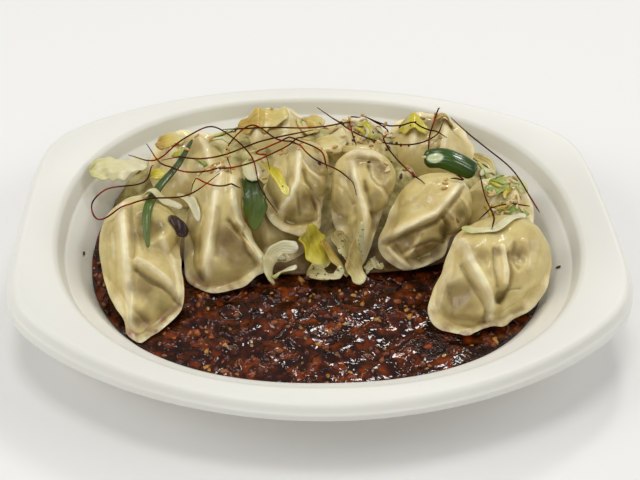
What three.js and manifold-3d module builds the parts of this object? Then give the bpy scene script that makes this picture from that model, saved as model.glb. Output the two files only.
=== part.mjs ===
// Oval bowl of spicy boiled dumplings: pleated dumplings on a heap of shredded cabbage over a dark
// chili sauce, with scallion, sesame seeds and fine chili threads on top.
//
// Millimetres, +Z up. The origin is the middle of the bowl's flat foot, on the table. +X runs along
// the bowl and +Y to the back, where the dumplings are heaped highest.
import * as THREE from 'three';
import { mergeVertices } from 'three/addons/utils/BufferGeometryUtils.js';
import Module from 'manifold-3d';

const wasm = await Module();
wasm.setup();

const TURN = 2 * Math.PI;
const RADIANS = Math.PI / 180;

// The bowl: a wide rim with squared ends and a lip turned down, a steep wall, a ledge and the well.
const bowl = {
  halfLength: 130,
  sideOval: { halfLength: 150.2, halfWidth: 103, power: 1.94 },
  endBow: 400,
  cornerSharpness: 28.7,
  crestHeight: 32,
  crestRise: 5.5,
  mouthRise: 0.8,
  lipBottom: 26.8,
  lipFlare: 4.7,
  wall: 1.4,
  ovalPower: 2.26,
  sides: 56,
};
// Ovals of the inside from the floor up, as half length, half width and height.
const floorOval = { halfLength: 96, halfWidth: 70.5, height: 1.7 };
const filletOval = { halfLength: 101.5, halfWidth: 76, height: 4.6 };
const wellOval = { halfLength: 104.6, halfWidth: 79, height: 12 };
const wellTopOval = { halfLength: 109, halfWidth: 83.4, height: 19.6 };
const ledgeOval = { halfLength: 114.6, halfWidth: 91.8, height: 23.6 };
const mouthOval = { halfLength: 117.2, halfWidth: 94.4, height: 31.6 };
const insideOvals = [floorOval, filletOval, wellOval, wellTopOval, ledgeOval, mouthOval];

const sauceTop = 12;
const sauceRelief = 0.7;
const restingHeight = sauceTop + 1;
const clearance = 0.3;
const softness = 3;

// Radius of an oval at a polar angle.
function ovalRadius(halfLength, halfWidth, power, angle) {
  const along = Math.abs(Math.cos(angle) / halfLength) ** power;
  const across = Math.abs(Math.sin(angle) / halfWidth) ** power;
  return (along + across) ** (-1 / power);
}

// Radius of the rim's crest: the side oval cut off by an almost straight end.
function crestRadius(angle) {
  const { halfLength, halfWidth, power } = bowl.sideOval;
  const side = 1 / ovalRadius(halfLength, halfWidth, power, angle);
  const end = Math.hypot(Math.cos(angle) / bowl.halfLength, Math.sin(angle) / bowl.endBow);
  const sharp = bowl.cornerSharpness;
  return (side ** sharp + end ** sharp) ** (-1 / sharp);
}

// Angles of the bowl's sides, closer together round the rim's corners.
function bowlAngles(count) {
  const fine = 1440;
  const cornerWeight = 45;
  const reach = [0];
  let previous = null;
  for (let step = 1; step <= fine; step += 1) {
    const before = (TURN * (step - 1)) / fine;
    const after = (TURN * step) / fine;
    const dx = crestRadius(after) * Math.cos(after) - crestRadius(before) * Math.cos(before);
    const dy = crestRadius(after) * Math.sin(after) - crestRadius(before) * Math.sin(before);
    const heading = Math.atan2(dy, dx);
    const turned = previous === null ? 0 : heading - previous;
    const bend = Math.abs(Math.atan2(Math.sin(turned), Math.cos(turned)));
    previous = heading;
    reach.push(reach[step - 1] + Math.hypot(dx, dy) + cornerWeight * bend);
  }
  const angles = [];
  let step = 0;
  for (let side = 0; side < count; side += 1) {
    const wanted = (reach[fine] * side) / count;
    while (reach[step + 1] < wanted) {
      step += 1;
    }
    angles.push((TURN * (step + (wanted - reach[step]) / (reach[step + 1] - reach[step]))) / fine);
  }
  return angles;
}

// One ring of points round the bowl, from a radius and a height at each angle.
function ring(angles, radiusAt, heightAt) {
  return angles.map((angle) => {
    const radius = radiusAt(angle);
    const x = radius * Math.cos(angle);
    return new THREE.Vector3(x, radius * Math.sin(angle), heightAt(x));
  });
}

// A ring moved outwards along its own normals in plan, to a new height.
function flared(points, distance, heightAt) {
  return points.map((point, index) => {
    const next = points[(index + 1) % points.length];
    const last = points[(index + points.length - 1) % points.length];
    const normal = new THREE.Vector2(next.y - last.y, last.x - next.x).normalize();
    const x = point.x + distance * normal.x;
    return new THREE.Vector3(x, point.y + distance * normal.y, heightAt(x));
  });
}

// Closed skin over a stack of rings, with a point in the middle of the first and the last ring.
function loft(rings, firstMiddle, lastMiddle) {
  const sides = rings[0].length;
  const positions = [];
  for (const points of rings) {
    for (const point of points) {
      positions.push(point.x, point.y, point.z);
    }
  }
  const first = positions.length / 3;
  positions.push(firstMiddle.x, firstMiddle.y, firstMiddle.z);
  positions.push(lastMiddle.x, lastMiddle.y, lastMiddle.z);
  const faces = [];
  const top = (rings.length - 1) * sides;
  for (let side = 0; side < sides; side += 1) {
    const next = (side + 1) % sides;
    faces.push(first, next, side);
    faces.push(first + 1, top + side, top + next);
    for (let level = 0; level < rings.length - 1; level += 1) {
      const low = level * sides;
      const high = low + sides;
      faces.push(low + side, low + next, high + next);
      faces.push(low + side, high + next, high + side);
    }
  }
  const geometry = new THREE.BufferGeometry();
  geometry.setAttribute('position', new THREE.Float32BufferAttribute(positions, 3));
  geometry.setIndex(faces);
  return geometry;
}

function crestHeight(x) {
  return bowl.crestHeight + bowl.crestRise * (x / bowl.halfLength) ** 2;
}

function bowlGeometry() {
  const angles = bowlAngles(bowl.sides);
  const oval = (size, outwards, height) => ring(
    angles,
    (angle) => ovalRadius(size.halfLength + outwards, size.halfWidth + outwards, bowl.ovalPower, angle),
    typeof height === 'function' ? height : () => height,
  );
  const crest = ring(angles, crestRadius, crestHeight);
  const lipHeight = (share) => (x) => bowl.lipBottom + share * (crestHeight(x) - bowl.lipBottom);
  const mouthHeight = (x) => mouthOval.height + bowl.mouthRise * (x / bowl.halfLength) ** 2;
  const { wall } = bowl;
  const rings = [
    oval(floorOval, wall, 0),
    oval(filletOval, wall, 2.2),
    oval(wellOval, wall, 10.5),
    oval(wellTopOval, wall, wellTopOval.height - 1.3),
    oval(ledgeOval, wall, ledgeOval.height - 1.5),
    oval(mouthOval, wall, mouthOval.height - 2),
    flared(crest, -1.5, (x) => crestHeight(x) - 1.6),
    flared(crest, bowl.lipFlare - wall, () => bowl.lipBottom),
    flared(crest, bowl.lipFlare, () => bowl.lipBottom),
    flared(crest, 3.9, lipHeight(0.5)),
    flared(crest, 3.2, lipHeight(0.56)),
    flared(crest, 1.6, lipHeight(0.88)),
    crest,
    oval(mouthOval, 1, (x) => mouthHeight(x) + 0.1),
    oval(mouthOval, -0.6, (x) => mouthHeight(x) - 1.4),
    oval(ledgeOval, 0, ledgeOval.height),
    oval(ledgeOval, -1.2, ledgeOval.height - 0.6),
    oval(wellTopOval, 0.6, wellTopOval.height + 0.3),
    oval(wellTopOval, -0.6, wellTopOval.height - 1),
    oval(wellOval, 0, wellOval.height),
    oval(filletOval, 0, filletOval.height),
    oval(floorOval, 0, floorOval.height),
  ];
  return loft(rings, new THREE.Vector3(0, 0, 0), new THREE.Vector3(0, 0, floorOval.height));
}

// Keeps a value on the near side of a limit, with a soft bend just before it.
function pressed(value, limit) {
  const start = limit - softness;
  return value <= start ? value : limit - softness * Math.exp((start - value) / softness);
}

// Radius of the bowl's inside at a height and a polar angle.
function insideRadius(height, angle) {
  let above = 1;
  while (above < insideOvals.length - 1 && insideOvals[above].height < height) {
    above += 1;
  }
  const low = insideOvals[above - 1];
  const high = insideOvals[above];
  const share = THREE.MathUtils.clamp((height - low.height) / (high.height - low.height), 0, 1);
  const halfLength = THREE.MathUtils.lerp(low.halfLength, high.halfLength, share);
  const halfWidth = THREE.MathUtils.lerp(low.halfWidth, high.halfWidth, share);
  return ovalRadius(halfLength, halfWidth, bowl.ovalPower, angle);
}

// Moves a point of the food to the inside of the bowl and onto the sauce.
function keepInBowl(point) {
  point.z = -pressed(-point.z, -restingHeight);
  const angle = Math.atan2(point.y, point.x);
  const radius = Math.hypot(point.x, point.y);
  const allowed = pressed(radius, insideRadius(point.z, angle) - clearance);
  point.x *= allowed / radius;
  point.y *= allowed / radius;
  return point;
}

// A dumpling's edge from points in its own plane, as a share of a turn and a radius each.
function through(points) {
  const edge = points.map(([x, y]) => [(Math.atan2(y, x) / TURN + 1) % 1, Math.hypot(x, y)]);
  return edge.sort((one, other) => one[0] - other[0]);
}

// A dumpling's edge from radii at even angles.
function evenly(radii) {
  return radii.map((radius, index) => [index / radii.length, radius]);
}

// Each dumpling, in millimetres and degrees. Its own plane holds the sealed edge: x runs across it, y
// from the seal up to the belly's far end, z out of the side that shows. The plane leans back, turns
// about the upright and is set at the middle. Ridges are folds of the wrapper: a path, height and half
// width. Hollows lie between them: x, y, radius and depth.
const dumplings = [
  {
    name: 'dumpling_1',
    middle: [-77.5, -18, 27.5],
    lean: 28,
    heading: 6,
    thickness: 25,
    seal: -65,
    edge: through([
      [16, 3], [17, 11], [14, 19], [9.5, 25], [4, 28.5], [-3, 28.8], [-10, 26], [-16, 21], [-19.5, 13],
      [-20.5, 5], [-19.5, -4], [-18.5, -11], [-16.5, -18], [-13, -25], [-10.6, -31], [-10.8, -37],
      [-8.5, -41], [-4.5, -43.5], [0.5, -39], [6, -34.5], [11, -30], [14.5, -25], [16.5, -17], [16, -6],
    ]),
    ridges: [
      { path: [[-9, 23], [-8, 8], [-8, -8], [-8, -24], [-8, -38]], height: 3.4, halfWidth: 3.6 },
      { path: [[8, 3], [12, -5], [13, -13], [14, -20]], height: 2.6, halfWidth: 3.2 },
      { path: [[-3, -6], [4, -11], [9, -15], [13, -20]], height: 2.6, halfWidth: 3 },
    ],
    hollows: [[2, 9, 6, 2.6], [-2, -17, 6, 2.2], [6, -26, 5, 1.4], [-3, -31, 3.4, 2.2]],
  },
  {
    name: 'dumpling_2',
    middle: [-43, -4, 30.5],
    lean: 38,
    heading: -4,
    thickness: 26,
    seal: -85,
    edge: through([
      [11.5, 0], [8.5, 4], [7.2, 9], [7, 15], [6.5, 21], [4.8, 27], [0.5, 30.8], [-6, 30], [-12, 26.5],
      [-16, 21], [-17.3, 14], [-17.8, 7], [-18.6, 0], [-18.8, -8], [-18.3, -16], [-16.5, -23],
      [-12.5, -28], [-7, -30.3], [-1, -30.4], [5, -29], [10.5, -26], [15, -21.5], [20, -17],
      [19.5, -13], [15.5, -8], [13, -4],
    ]),
    ridges: [
      { path: [[-3, 27], [-4, 14], [-5.5, 0], [-6, -12], [-7, -22]], height: 3.8, halfWidth: 4 },
      { path: [[3, 22], [4, 11], [7, 3], [11, -4], [14, -9.5], [18, -15]], height: 3.4, halfWidth: 2.8 },
      { path: [[-14, 14], [-15.5, 2], [-15.5, -12]], height: 1, halfWidth: 2.8 },
    ],
    hollows: [[2, -8, 6.5, 3.2], [-9.5, -23, 2.6, 1.8], [-13, -9, 4, 1.4], [7, -15, 5, 1.4]],
  },
  {
    name: 'dumpling_3',
    middle: [-9, 11, 38.5],
    lean: 33,
    heading: 0,
    thickness: 24,
    seal: -95,
    edge: through([
      [12.8, 0], [14.3, 6], [15.2, 12], [13.5, 18], [10, 22.5], [5, 25.3], [0, 26], [-5, 24],
      [-9.5, 19.5], [-13, 13], [-15.5, 6], [-17, 0], [-17.3, -6], [-15.5, -11.5], [-12, -16.5],
      [-6, -19.2], [0, -20.7], [5, -19.8], [9.3, -16.5], [10.3, -12], [10, -8], [11.5, -4],
    ]),
    ridges: [
      { path: [[-1, 16], [-1.5, 8], [-2, 1], [-5, -5], [-9, -10]], height: 3.6, halfWidth: 2.8 },
      { path: [[1, 13], [4.5, 6.5], [9, 3], [13, 3]], height: 2, halfWidth: 2.4 },
      { path: [[6.5, -1], [8.5, -6], [8.5, -13]], height: 2, halfWidth: 2.2 },
      { path: [[-12, 13], [-9, 4], [-8, -4]], height: 1.2, halfWidth: 2.4 },
    ],
    hollows: [[3, -7, 4.2, 2.8], [-4.5, -12, 2.6, 2.2], [-12, -5, 3, 1.2], [8, 10.5, 4, 1.6]],
  },
  {
    name: 'dumpling_4',
    middle: [20, 4, 34.5],
    lean: 47,
    heading: -4,
    thickness: 24,
    seal: -90,
    edge: through([
      [10, 0.5], [13, 5], [14.6, 10], [14.6, 16], [12, 21], [8, 25], [2, 27.8], [-4, 27.5], [-10, 25],
      [-14.5, 20], [-17, 13], [-17.2, 6], [-16, -1], [-14.5, -7], [-12, -12], [-8, -15.5], [-6.3, -20],
      [-4.2, -25], [-0.8, -28], [2, -25], [4.3, -19], [6.3, -13], [7.8, -6],
    ]),
    ridges: [
      { path: [[-7, 21], [-6, 14], [-3, 6], [-0.5, -1], [1, -10], [0, -24]], height: 3.8, halfWidth: 3 },
      { path: [[-8, 25.5], [6, 25.5]], height: 2.8, halfWidth: 2.6 },
      { path: [[2, 16], [6, 9.5], [12, 4]], height: 1.8, halfWidth: 2.4 },
      { path: [[-13, 14], [-11, 4], [-10, -6]], height: 1, halfWidth: 2.8 },
    ],
    hollows: [[6, 18, 4.5, 2.4], [-11, 1, 5, 1.6], [5, 2, 4.5, 1.6], [-1, 8.5, 2.4, 1]],
  },
  {
    name: 'dumpling_5',
    middle: [50, -2, 32],
    lean: 45,
    heading: 4,
    turn: 22,
    thickness: 26,
    seal: -150,
    edge: through([
      [22.5, 0], [23.4, 6], [22, 11], [19, 15.5], [13, 18.8], [8, 20.5], [2, 21], [-4, 19.5],
      [-10, 16.8], [-16, 13], [-21.5, 8.5], [-25.5, 4.5], [-27, 0.5], [-26.5, -5], [-24, -11],
      [-20.5, -15.5], [-15, -17.2], [-8, -17.5], [-2, -17], [2, -14], [6, -11], [12, -9.5], [17, -7.8],
      [20.3, -4.5],
    ]),
    ridges: [
      {
        path: [[-25, 2.5], [-16, 3], [-8, 3.4], [0, 3.4], [8, 6.4], [16, 9.5], [21, 10]],
        height: 4.6,
        halfWidth: 3,
      },
      { path: [[-23, -3], [-21, -9], [-18.5, -15]], height: 2.6, halfWidth: 2.2 },
      { path: [[-9, -2], [-13, -6.5], [-17, -9]], height: 1.8, halfWidth: 2 },
      { path: [[6.5, 2], [8.5, -3], [8, -7]], height: 1.6, halfWidth: 1.9 },
      { path: [[16, 4], [18, -3]], height: 1.2, halfWidth: 2 },
    ],
    hollows: [[-15, -2.5, 4, 3], [-9, -11, 5.5, 2], [2.5, -6, 3, 2.4], [12.5, -3.5, 4, 2.4], [-3, -4, 4, 1]],
  },
  {
    name: 'dumpling_6',
    middle: [73, -33, 26.5],
    lean: 36,
    heading: 4,
    thickness: 27,
    seal: -80,
    edge: through([
      [28, 0], [29.3, 8], [28, 16], [24.5, 22], [19, 26], [12, 28], [5, 28], [-2, 26.3], [-9, 23.5],
      [-13.5, 20], [-16, 16], [-18, 12], [-20.5, 6.5], [-23, 1.5], [-26, -4], [-28.5, -9], [-29, -14],
      [-27, -19], [-22.5, -23], [-17, -25.6], [-13, -26], [-10, -24], [-6, -22.3], [-1.5, -21.8],
      [3, -22], [8, -19.3], [15, -15.8], [20.5, -12], [24.5, -7.5],
    ]),
    ridges: [
      { path: [[-13.5, 17], [-11.5, 8], [-8.5, -1], [-5.5, -9], [-3, -17]], height: 3.6, halfWidth: 3.6 },
      { path: [[-17, 14], [-20, 4], [-24, -5], [-26, -12]], height: 2.2, halfWidth: 2.8 },
      { path: [[2.5, 12], [3, 4], [2.5, -4]], height: 2.6, halfWidth: 2.6 },
      { path: [[14, 14], [14, 2]], height: 1.2, halfWidth: 3 },
      { path: [[16, -4], [9, -10], [3, -16]], height: 1.2, halfWidth: 3 },
    ],
    hollows: [[-17, -7, 6, 2.8], [0.3, -9.5, 2.8, 2.6], [-6, 7, 4, 1.4], [10.5, 8, 4, 1.8], [3, 21, 4, 1.4]],
  },
  {
    name: 'dumpling_7',
    middle: [-60, 40, 29],
    lean: 12,
    heading: 14,
    thickness: 25,
    seal: 95,
    edge: evenly([21, 22, 24, 25, 24, 22, 21, 21, 23, 23, 22, 21]),
    ridges: [
      { path: [[-9, 16], [-7, -14]], height: 2.6, halfWidth: 3.6 },
      { path: [[6, 18], [8, -12]], height: 2.6, halfWidth: 3.6 },
    ],
    hollows: [[0, 4, 5, 1.4]],
  },
  {
    name: 'dumpling_8',
    middle: [-19, 61, 32.5],
    lean: 6,
    heading: -4,
    thickness: 25,
    seal: 85,
    edge: evenly([23, 22, 21, 21, 21, 22, 23, 22, 21, 20, 21, 22]),
    ridges: [
      { path: [[-10, 14], [-9, -12]], height: 2.6, halfWidth: 3.6 },
      { path: [[4, 16], [5, -12]], height: 2.6, halfWidth: 3.6 },
      { path: [[15, 12], [14, -8]], height: 2, halfWidth: 3.2 },
    ],
    hollows: [],
  },
  {
    name: 'dumpling_9',
    middle: [56, 52, 33.5],
    lean: 10,
    heading: -12,
    thickness: 25,
    seal: 88,
    edge: evenly([23, 22, 22, 23, 23, 23, 23, 22, 21, 21, 21, 22]),
    ridges: [
      { path: [[-9, 15], [-8, -12]], height: 2.6, halfWidth: 3.6 },
      { path: [[6, 17], [7, -12]], height: 2.6, halfWidth: 3.6 },
    ],
    hollows: [[-1, 2, 5, 1.4]],
  },
  {
    name: 'dumpling_10',
    middle: [84, 10, 26],
    lean: 16,
    heading: -20,
    thickness: 23,
    seal: 60,
    edge: evenly([17, 18, 20, 22, 21, 19, 18, 18, 20, 22, 20, 18]),
    ridges: [
      { path: [[-5, 14], [-5, -14]], height: 2.2, halfWidth: 3.4 },
      { path: [[7, 12], [7, -12]], height: 2.2, halfWidth: 3.4 },
    ],
    hollows: [],
  },
  {
    name: 'dumpling_11',
    middle: [-21, 10, 21],
    lean: 18,
    heading: 10,
    thickness: 18,
    seal: -80,
    edge: evenly([20, 20, 21, 22, 21, 20, 20, 20, 21, 22, 21, 20]),
    ridges: [
      { path: [[-6, 10], [-6, -16]], height: 1.6, halfWidth: 3.4 },
    ],
    hollows: [],
  },
  {
    name: 'dumpling_12',
    middle: [20, 53, 33],
    lean: 12,
    heading: 4,
    thickness: 24,
    seal: 80,
    edge: evenly([22, 21, 19, 18, 19, 21, 22, 21, 18, 17, 18, 21]),
    ridges: [
      { path: [[-7, 11], [-6, -10]], height: 2.2, halfWidth: 3.4 },
      { path: [[5, 12], [6, -9]], height: 2.2, halfWidth: 3.4 },
    ],
    hollows: [],
  },
];

const skirtWidth = 6;
const skirtHalfThickness = 1.3;
const bellyCurl = 2.5;

// Radius of an edge at an angle, on a smooth closed curve.
function edgeRadius(edge, angle) {
  const place = (((angle / TURN) % 1) + 1) % 1;
  const found = edge.findIndex(([other]) => other > place);
  const above = found < 0 ? edge.length : found;
  const [before, from, to, after] = [-2, -1, 0, 1].map((step) => {
    const laps = Math.floor((above + step) / edge.length);
    const [other, radius] = edge[above + step - laps * edge.length];
    return [other + laps, radius];
  });
  const span = to[0] - from[0];
  const t = (place - from[0]) / span;
  const rise = to[1] - from[1];
  const start = (span * (to[1] - before[1])) / (to[0] - before[0]);
  const end = (span * (after[1] - from[1])) / (after[0] - from[0]);
  return from[1] + start * t + (3 * rise - 2 * start - end) * t * t + (start + end - 2 * rise) * t * t * t;
}

function distanceToPath(x, y, path) {
  let nearest = Infinity;
  for (let index = 1; index < path.length; index += 1) {
    const [x0, y0] = path[index - 1];
    const [x1, y1] = path[index];
    const length2 = (x1 - x0) ** 2 + (y1 - y0) ** 2;
    const share = THREE.MathUtils.clamp(((x - x0) * (x1 - x0) + (y - y0) * (y1 - y0)) / length2, 0, 1);
    nearest = Math.min(nearest, Math.hypot(x - x0 - share * (x1 - x0), y - y0 - share * (y1 - y0)));
  }
  return nearest;
}

// Height of the folds above the belly, on the side that shows.
function foldHeight(dumpling, x, y) {
  let height = 0;
  for (const ridge of dumpling.ridges) {
    height += ridge.height * Math.exp(-((distanceToPath(x, y, ridge.path) / ridge.halfWidth) ** 2));
  }
  for (const [atX, atY, radius, depth] of dumpling.hollows) {
    height -= depth * Math.exp(-(((x - atX) ** 2 + (y - atY) ** 2) / radius ** 2));
  }
  return height;
}

// A point of a dumpling for a point of the unit sphere whose equator is the sealed edge.
function dumplingPoint(dumpling, direction, folded) {
  const angle = Math.atan2(direction.y, direction.x);
  const reach = Math.min(1, Math.hypot(direction.x, direction.y));
  const radius = edgeRadius(dumpling.edge, angle);
  const x = reach * radius * Math.cos(angle);
  const y = reach * radius * Math.sin(angle);
  const nearSeal = THREE.MathUtils.smoothstep(Math.cos(angle - dumpling.seal * RADIANS), -0.3, 0.6);
  const bellyReach = Math.min(1, reach / (1 - (nearSeal * skirtWidth) / radius));
  const belly = 0.5 * dumpling.thickness * (1 - bellyReach ** 2.4) ** 0.6;
  const edge = Math.sqrt(Math.max(0, 1 - reach ** 8));
  let height = Math.hypot(belly, skirtHalfThickness) * edge * Math.sign(direction.z);
  if (folded && direction.z > 0) {
    height += foldHeight(dumpling, x, y) * (1 - reach ** 6);
  }
  if (folded) {
    height += nearSeal * reach ** 4 * Math.sin(angle * 11 + dumpling.middle[0]);
  }
  height -= bellyCurl * (x / radius) ** 2;
  const point = new THREE.Vector3(x, y, height);
  point.applyAxisAngle(new THREE.Vector3(0, 0, 1), (dumpling.turn ?? 0) * RADIANS);
  point.applyAxisAngle(new THREE.Vector3(1, 0, 0), dumpling.lean * RADIANS);
  point.applyAxisAngle(new THREE.Vector3(0, 0, 1), dumpling.heading * RADIANS);
  point.add(new THREE.Vector3(...dumpling.middle));
  return keepInBowl(point);
}

// A unit sphere whose poles are on z.
function unitSphere(segments, bands) {
  const sphere = new THREE.SphereGeometry(1, segments, bands).rotateX(Math.PI / 2);
  sphere.deleteAttribute('normal');
  sphere.deleteAttribute('uv');
  return mergeVertices(sphere, 1e-4);
}

function spherePoints(segments, bands) {
  const place = unitSphere(segments, bands).getAttribute('position');
  const point = (_, index) => new THREE.Vector3().fromBufferAttribute(place, index);
  return Array.from({ length: place.count }, point);
}

// Directions spread evenly over half of a sphere.
function spreadDirections(count) {
  const golden = Math.PI * (3 - Math.sqrt(5));
  return Array.from({ length: count }, (_, index) => {
    const z = (index + 0.5) / count;
    const radius = Math.sqrt(1 - z * z);
    return new THREE.Vector3(radius * Math.cos(golden * index), radius * Math.sin(golden * index), z);
  });
}

// Flat contacts between dumplings that lie against each other, as planes that each side stays behind.
function findContacts() {
  const sphere = spherePoints(24, 12);
  const clouds = dumplings.map((dumpling) => sphere.map((point) => dumplingPoint(dumpling, point, false)));
  const directions = spreadDirections(160);
  const contacts = dumplings.map(() => []);
  for (let one = 0; one < dumplings.length; one += 1) {
    for (let other = one + 1; other < dumplings.length; other += 1) {
      let best = { depth: Infinity };
      for (const direction of directions) {
        const spans = [one, other].map((index) => {
          const reaches = clouds[index].map((point) => point.dot(direction));
          return [Math.min(...reaches), Math.max(...reaches)];
        });
        const ahead = spans[0][1] - spans[1][0];
        const behind = spans[1][1] - spans[0][0];
        const depth = Math.min(ahead, behind);
        if (depth < best.depth) {
          const sign = ahead < behind ? 1 : -1;
          const meeting = sign > 0 ? spans[1][0] + depth / 2 : spans[0][0] + depth / 2;
          best = { depth, normal: direction.clone().multiplyScalar(sign), offset: sign * meeting };
        }
      }
      if (best.depth > -4) {
        contacts[one].push({ normal: best.normal, offset: best.offset });
        contacts[other].push({ normal: best.normal.clone().negate(), offset: -best.offset });
      }
    }
  }
  return contacts;
}

function keepBehind(point, contacts) {
  for (const { normal, offset } of contacts) {
    const reach = point.dot(normal);
    point.addScaledVector(normal, pressed(reach, offset - clearance) - reach);
  }
  return point;
}

const contacts = findContacts();

function dumplingGeometry(index, segments, bands) {
  const geometry = unitSphere(segments, bands);
  const place = geometry.getAttribute('position');
  for (let vertex = 0; vertex < place.count; vertex += 1) {
    const direction = new THREE.Vector3().fromBufferAttribute(place, vertex);
    const point = keepBehind(dumplingPoint(dumplings[index], direction, true), contacts[index]);
    place.setXYZ(vertex, point.x, point.y, point.z);
  }
  return geometry;
}

// Joining and cutting of closed meshes.
function toSolid(geometry) {
  const plain = geometry.clone();
  plain.deleteAttribute('normal');
  plain.deleteAttribute('uv');
  const merged = mergeVertices(plain, 1e-4);
  const vertProperties = new Float32Array(merged.getAttribute('position').array);
  const triVerts = new Uint32Array(merged.getIndex().array);
  return new wasm.Manifold(new wasm.Mesh({ numProp: 3, vertProperties, triVerts }));
}

function toGeometry(solid) {
  const { vertProperties, triVerts } = solid.getMesh();
  const geometry = new THREE.BufferGeometry();
  geometry.setAttribute('position', new THREE.Float32BufferAttribute(vertProperties, 3));
  geometry.setIndex(new THREE.BufferAttribute(triVerts, 1));
  return geometry;
}

function largestBody(solid) {
  return solid.decompose().reduce((best, body) => (body.volume() > best.volume() ? body : best));
}

// A closed mesh swollen along its own vertex normals.
function swollen(geometry, distance) {
  geometry.computeVertexNormals();
  const place = geometry.getAttribute('position');
  const normals = geometry.getAttribute('normal');
  for (let vertex = 0; vertex < place.count; vertex += 1) {
    const point = new THREE.Vector3().fromBufferAttribute(place, vertex);
    point.addScaledVector(new THREE.Vector3().fromBufferAttribute(normals, vertex), distance);
    place.setXYZ(vertex, point.x, point.y, point.z);
  }
  return geometry;
}

// A closed mesh with each of its points kept inside the bowl.
function insideBowl(geometry) {
  const place = geometry.getAttribute('position');
  for (let vertex = 0; vertex < place.count; vertex += 1) {
    const point = keepInBowl(new THREE.Vector3().fromBufferAttribute(place, vertex));
    place.setXYZ(vertex, point.x, point.y, point.z);
  }
  return geometry;
}

// Seeded draws, the same on every run.
function seededDraw(seed) {
  let state = seed;
  return () => {
    state = (state * 16807) % 2147483647;
    return state / 2147483647;
  };
}

const food = new THREE.Group();

function addMesh(name, geometry, color, roughness) {
  const material = new THREE.MeshStandardMaterial({ color, roughness, metalness: 0 });
  const mesh = new THREE.Mesh(geometry, material);
  mesh.name = name;
  food.add(mesh);
  return mesh;
}

// Highest solid straight below or above a place in plan.
function topAt(x, y, solids) {
  const caster = new THREE.Raycaster(new THREE.Vector3(x, y, 200), new THREE.Vector3(0, 0, -1));
  const hits = caster.intersectObjects(solids, false);
  return hits.length > 0 ? hits[0] : null;
}

// Rows of points in the middle of a thin sheet: its path, how wide it is, how much its ends narrow,
// how it is rolled about the path, and how far its edges curl and wave.
function sheetRows({ path, width, steps, across, taper = 0.25, roll = 0, cup = 0, wave = 0 }) {
  const curve = new THREE.CatmullRomCurve3(path.map((point) => new THREE.Vector3(...point)));
  const up = new THREE.Vector3(0, 0, 1);
  const rows = [];
  for (let step = 0; step <= steps; step += 1) {
    const share = step / steps;
    const middle = curve.getPoint(share);
    const along = curve.getTangent(share);
    const side = new THREE.Vector3().crossVectors(up, along).normalize();
    side.applyAxisAngle(along, roll * RADIANS);
    const normal = new THREE.Vector3().crossVectors(along, side).normalize();
    const halfWidth = 0.5 * width * (1 - taper + taper * Math.sin(Math.PI * (0.06 + 0.88 * share)));
    const row = [];
    for (let column = 0; column <= across; column += 1) {
      const offset = (2 * column) / across - 1;
      const ripple = wave * Math.sin(7 * share + 2.6 * offset) * (0.4 + 0.6 * Math.abs(offset));
      const point = middle.clone().addScaledVector(side, offset * halfWidth);
      row.push(point.addScaledVector(normal, ripple + cup * (0.5 - offset * offset)));
    }
    rows.push(row);
  }
  return rows;
}

// Lifts a sheet's rows of points until the sheet lies clear above everything below it.
function drape(rows, thickness, covers) {
  const across = rows[0].length - 1;
  const spacing = 1.3;
  const beside = clearance + 0.1;
  const steepest = 0.45;
  const rests = [];
  for (let step = 0; step < rows.length - 1; step += 1) {
    for (let column = 0; column < across; column += 1) {
      const near = rows[step];
      const far = rows[step + 1];
      const corners = [near[column], near[column + 1], far[column], far[column + 1]];
      const width = corners[0].distanceTo(corners[1]);
      const alongSamples = Math.ceil(corners[0].distanceTo(corners[2]) / spacing);
      const acrossSamples = Math.ceil(width / spacing);
      const narrow = width < spacing;
      const places = Array.from({ length: acrossSamples + 1 }, (_, sample) => sample / acrossSamples);
      places.push(-beside / width, 1 + beside / width);
      for (let sample = 0; sample <= alongSamples; sample += 1) {
        const u = sample / alongSamples;
        for (const v of places) {
          const weigh = (at) => [(1 - u) * (1 - at), (1 - u) * at, u * (1 - at), u * at];
          const place = new THREE.Vector3();
          weigh(v).forEach((weight, corner) => place.addScaledVector(corners[corner], weight));
          const below = topAt(place.x, place.y, covers);
          if (below !== null) {
            const weights = weigh(narrow ? 0.5 : THREE.MathUtils.clamp(v, 0, 1));
            const gap = (0.5 * thickness + clearance) / Math.max(steepest, below.face.normal.z);
            rests.push({ corners, weights, height: below.point.z + gap });
          }
        }
      }
    }
  }
  const sweeps = 30;
  for (let sweep = 0; sweep < sweeps; sweep += 1) {
    for (const { corners, weights, height } of rests) {
      const lift = height - weights.reduce((sum, weight, corner) => sum + weight * corners[corner].z, 0);
      if (lift > 0) {
        const total = weights.reduce((sum, weight) => sum + weight * weight, 0);
        weights.forEach((weight, corner) => {
          corners[corner].z += (lift * weight) / total;
        });
      }
    }
  }
  return rows;
}

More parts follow.
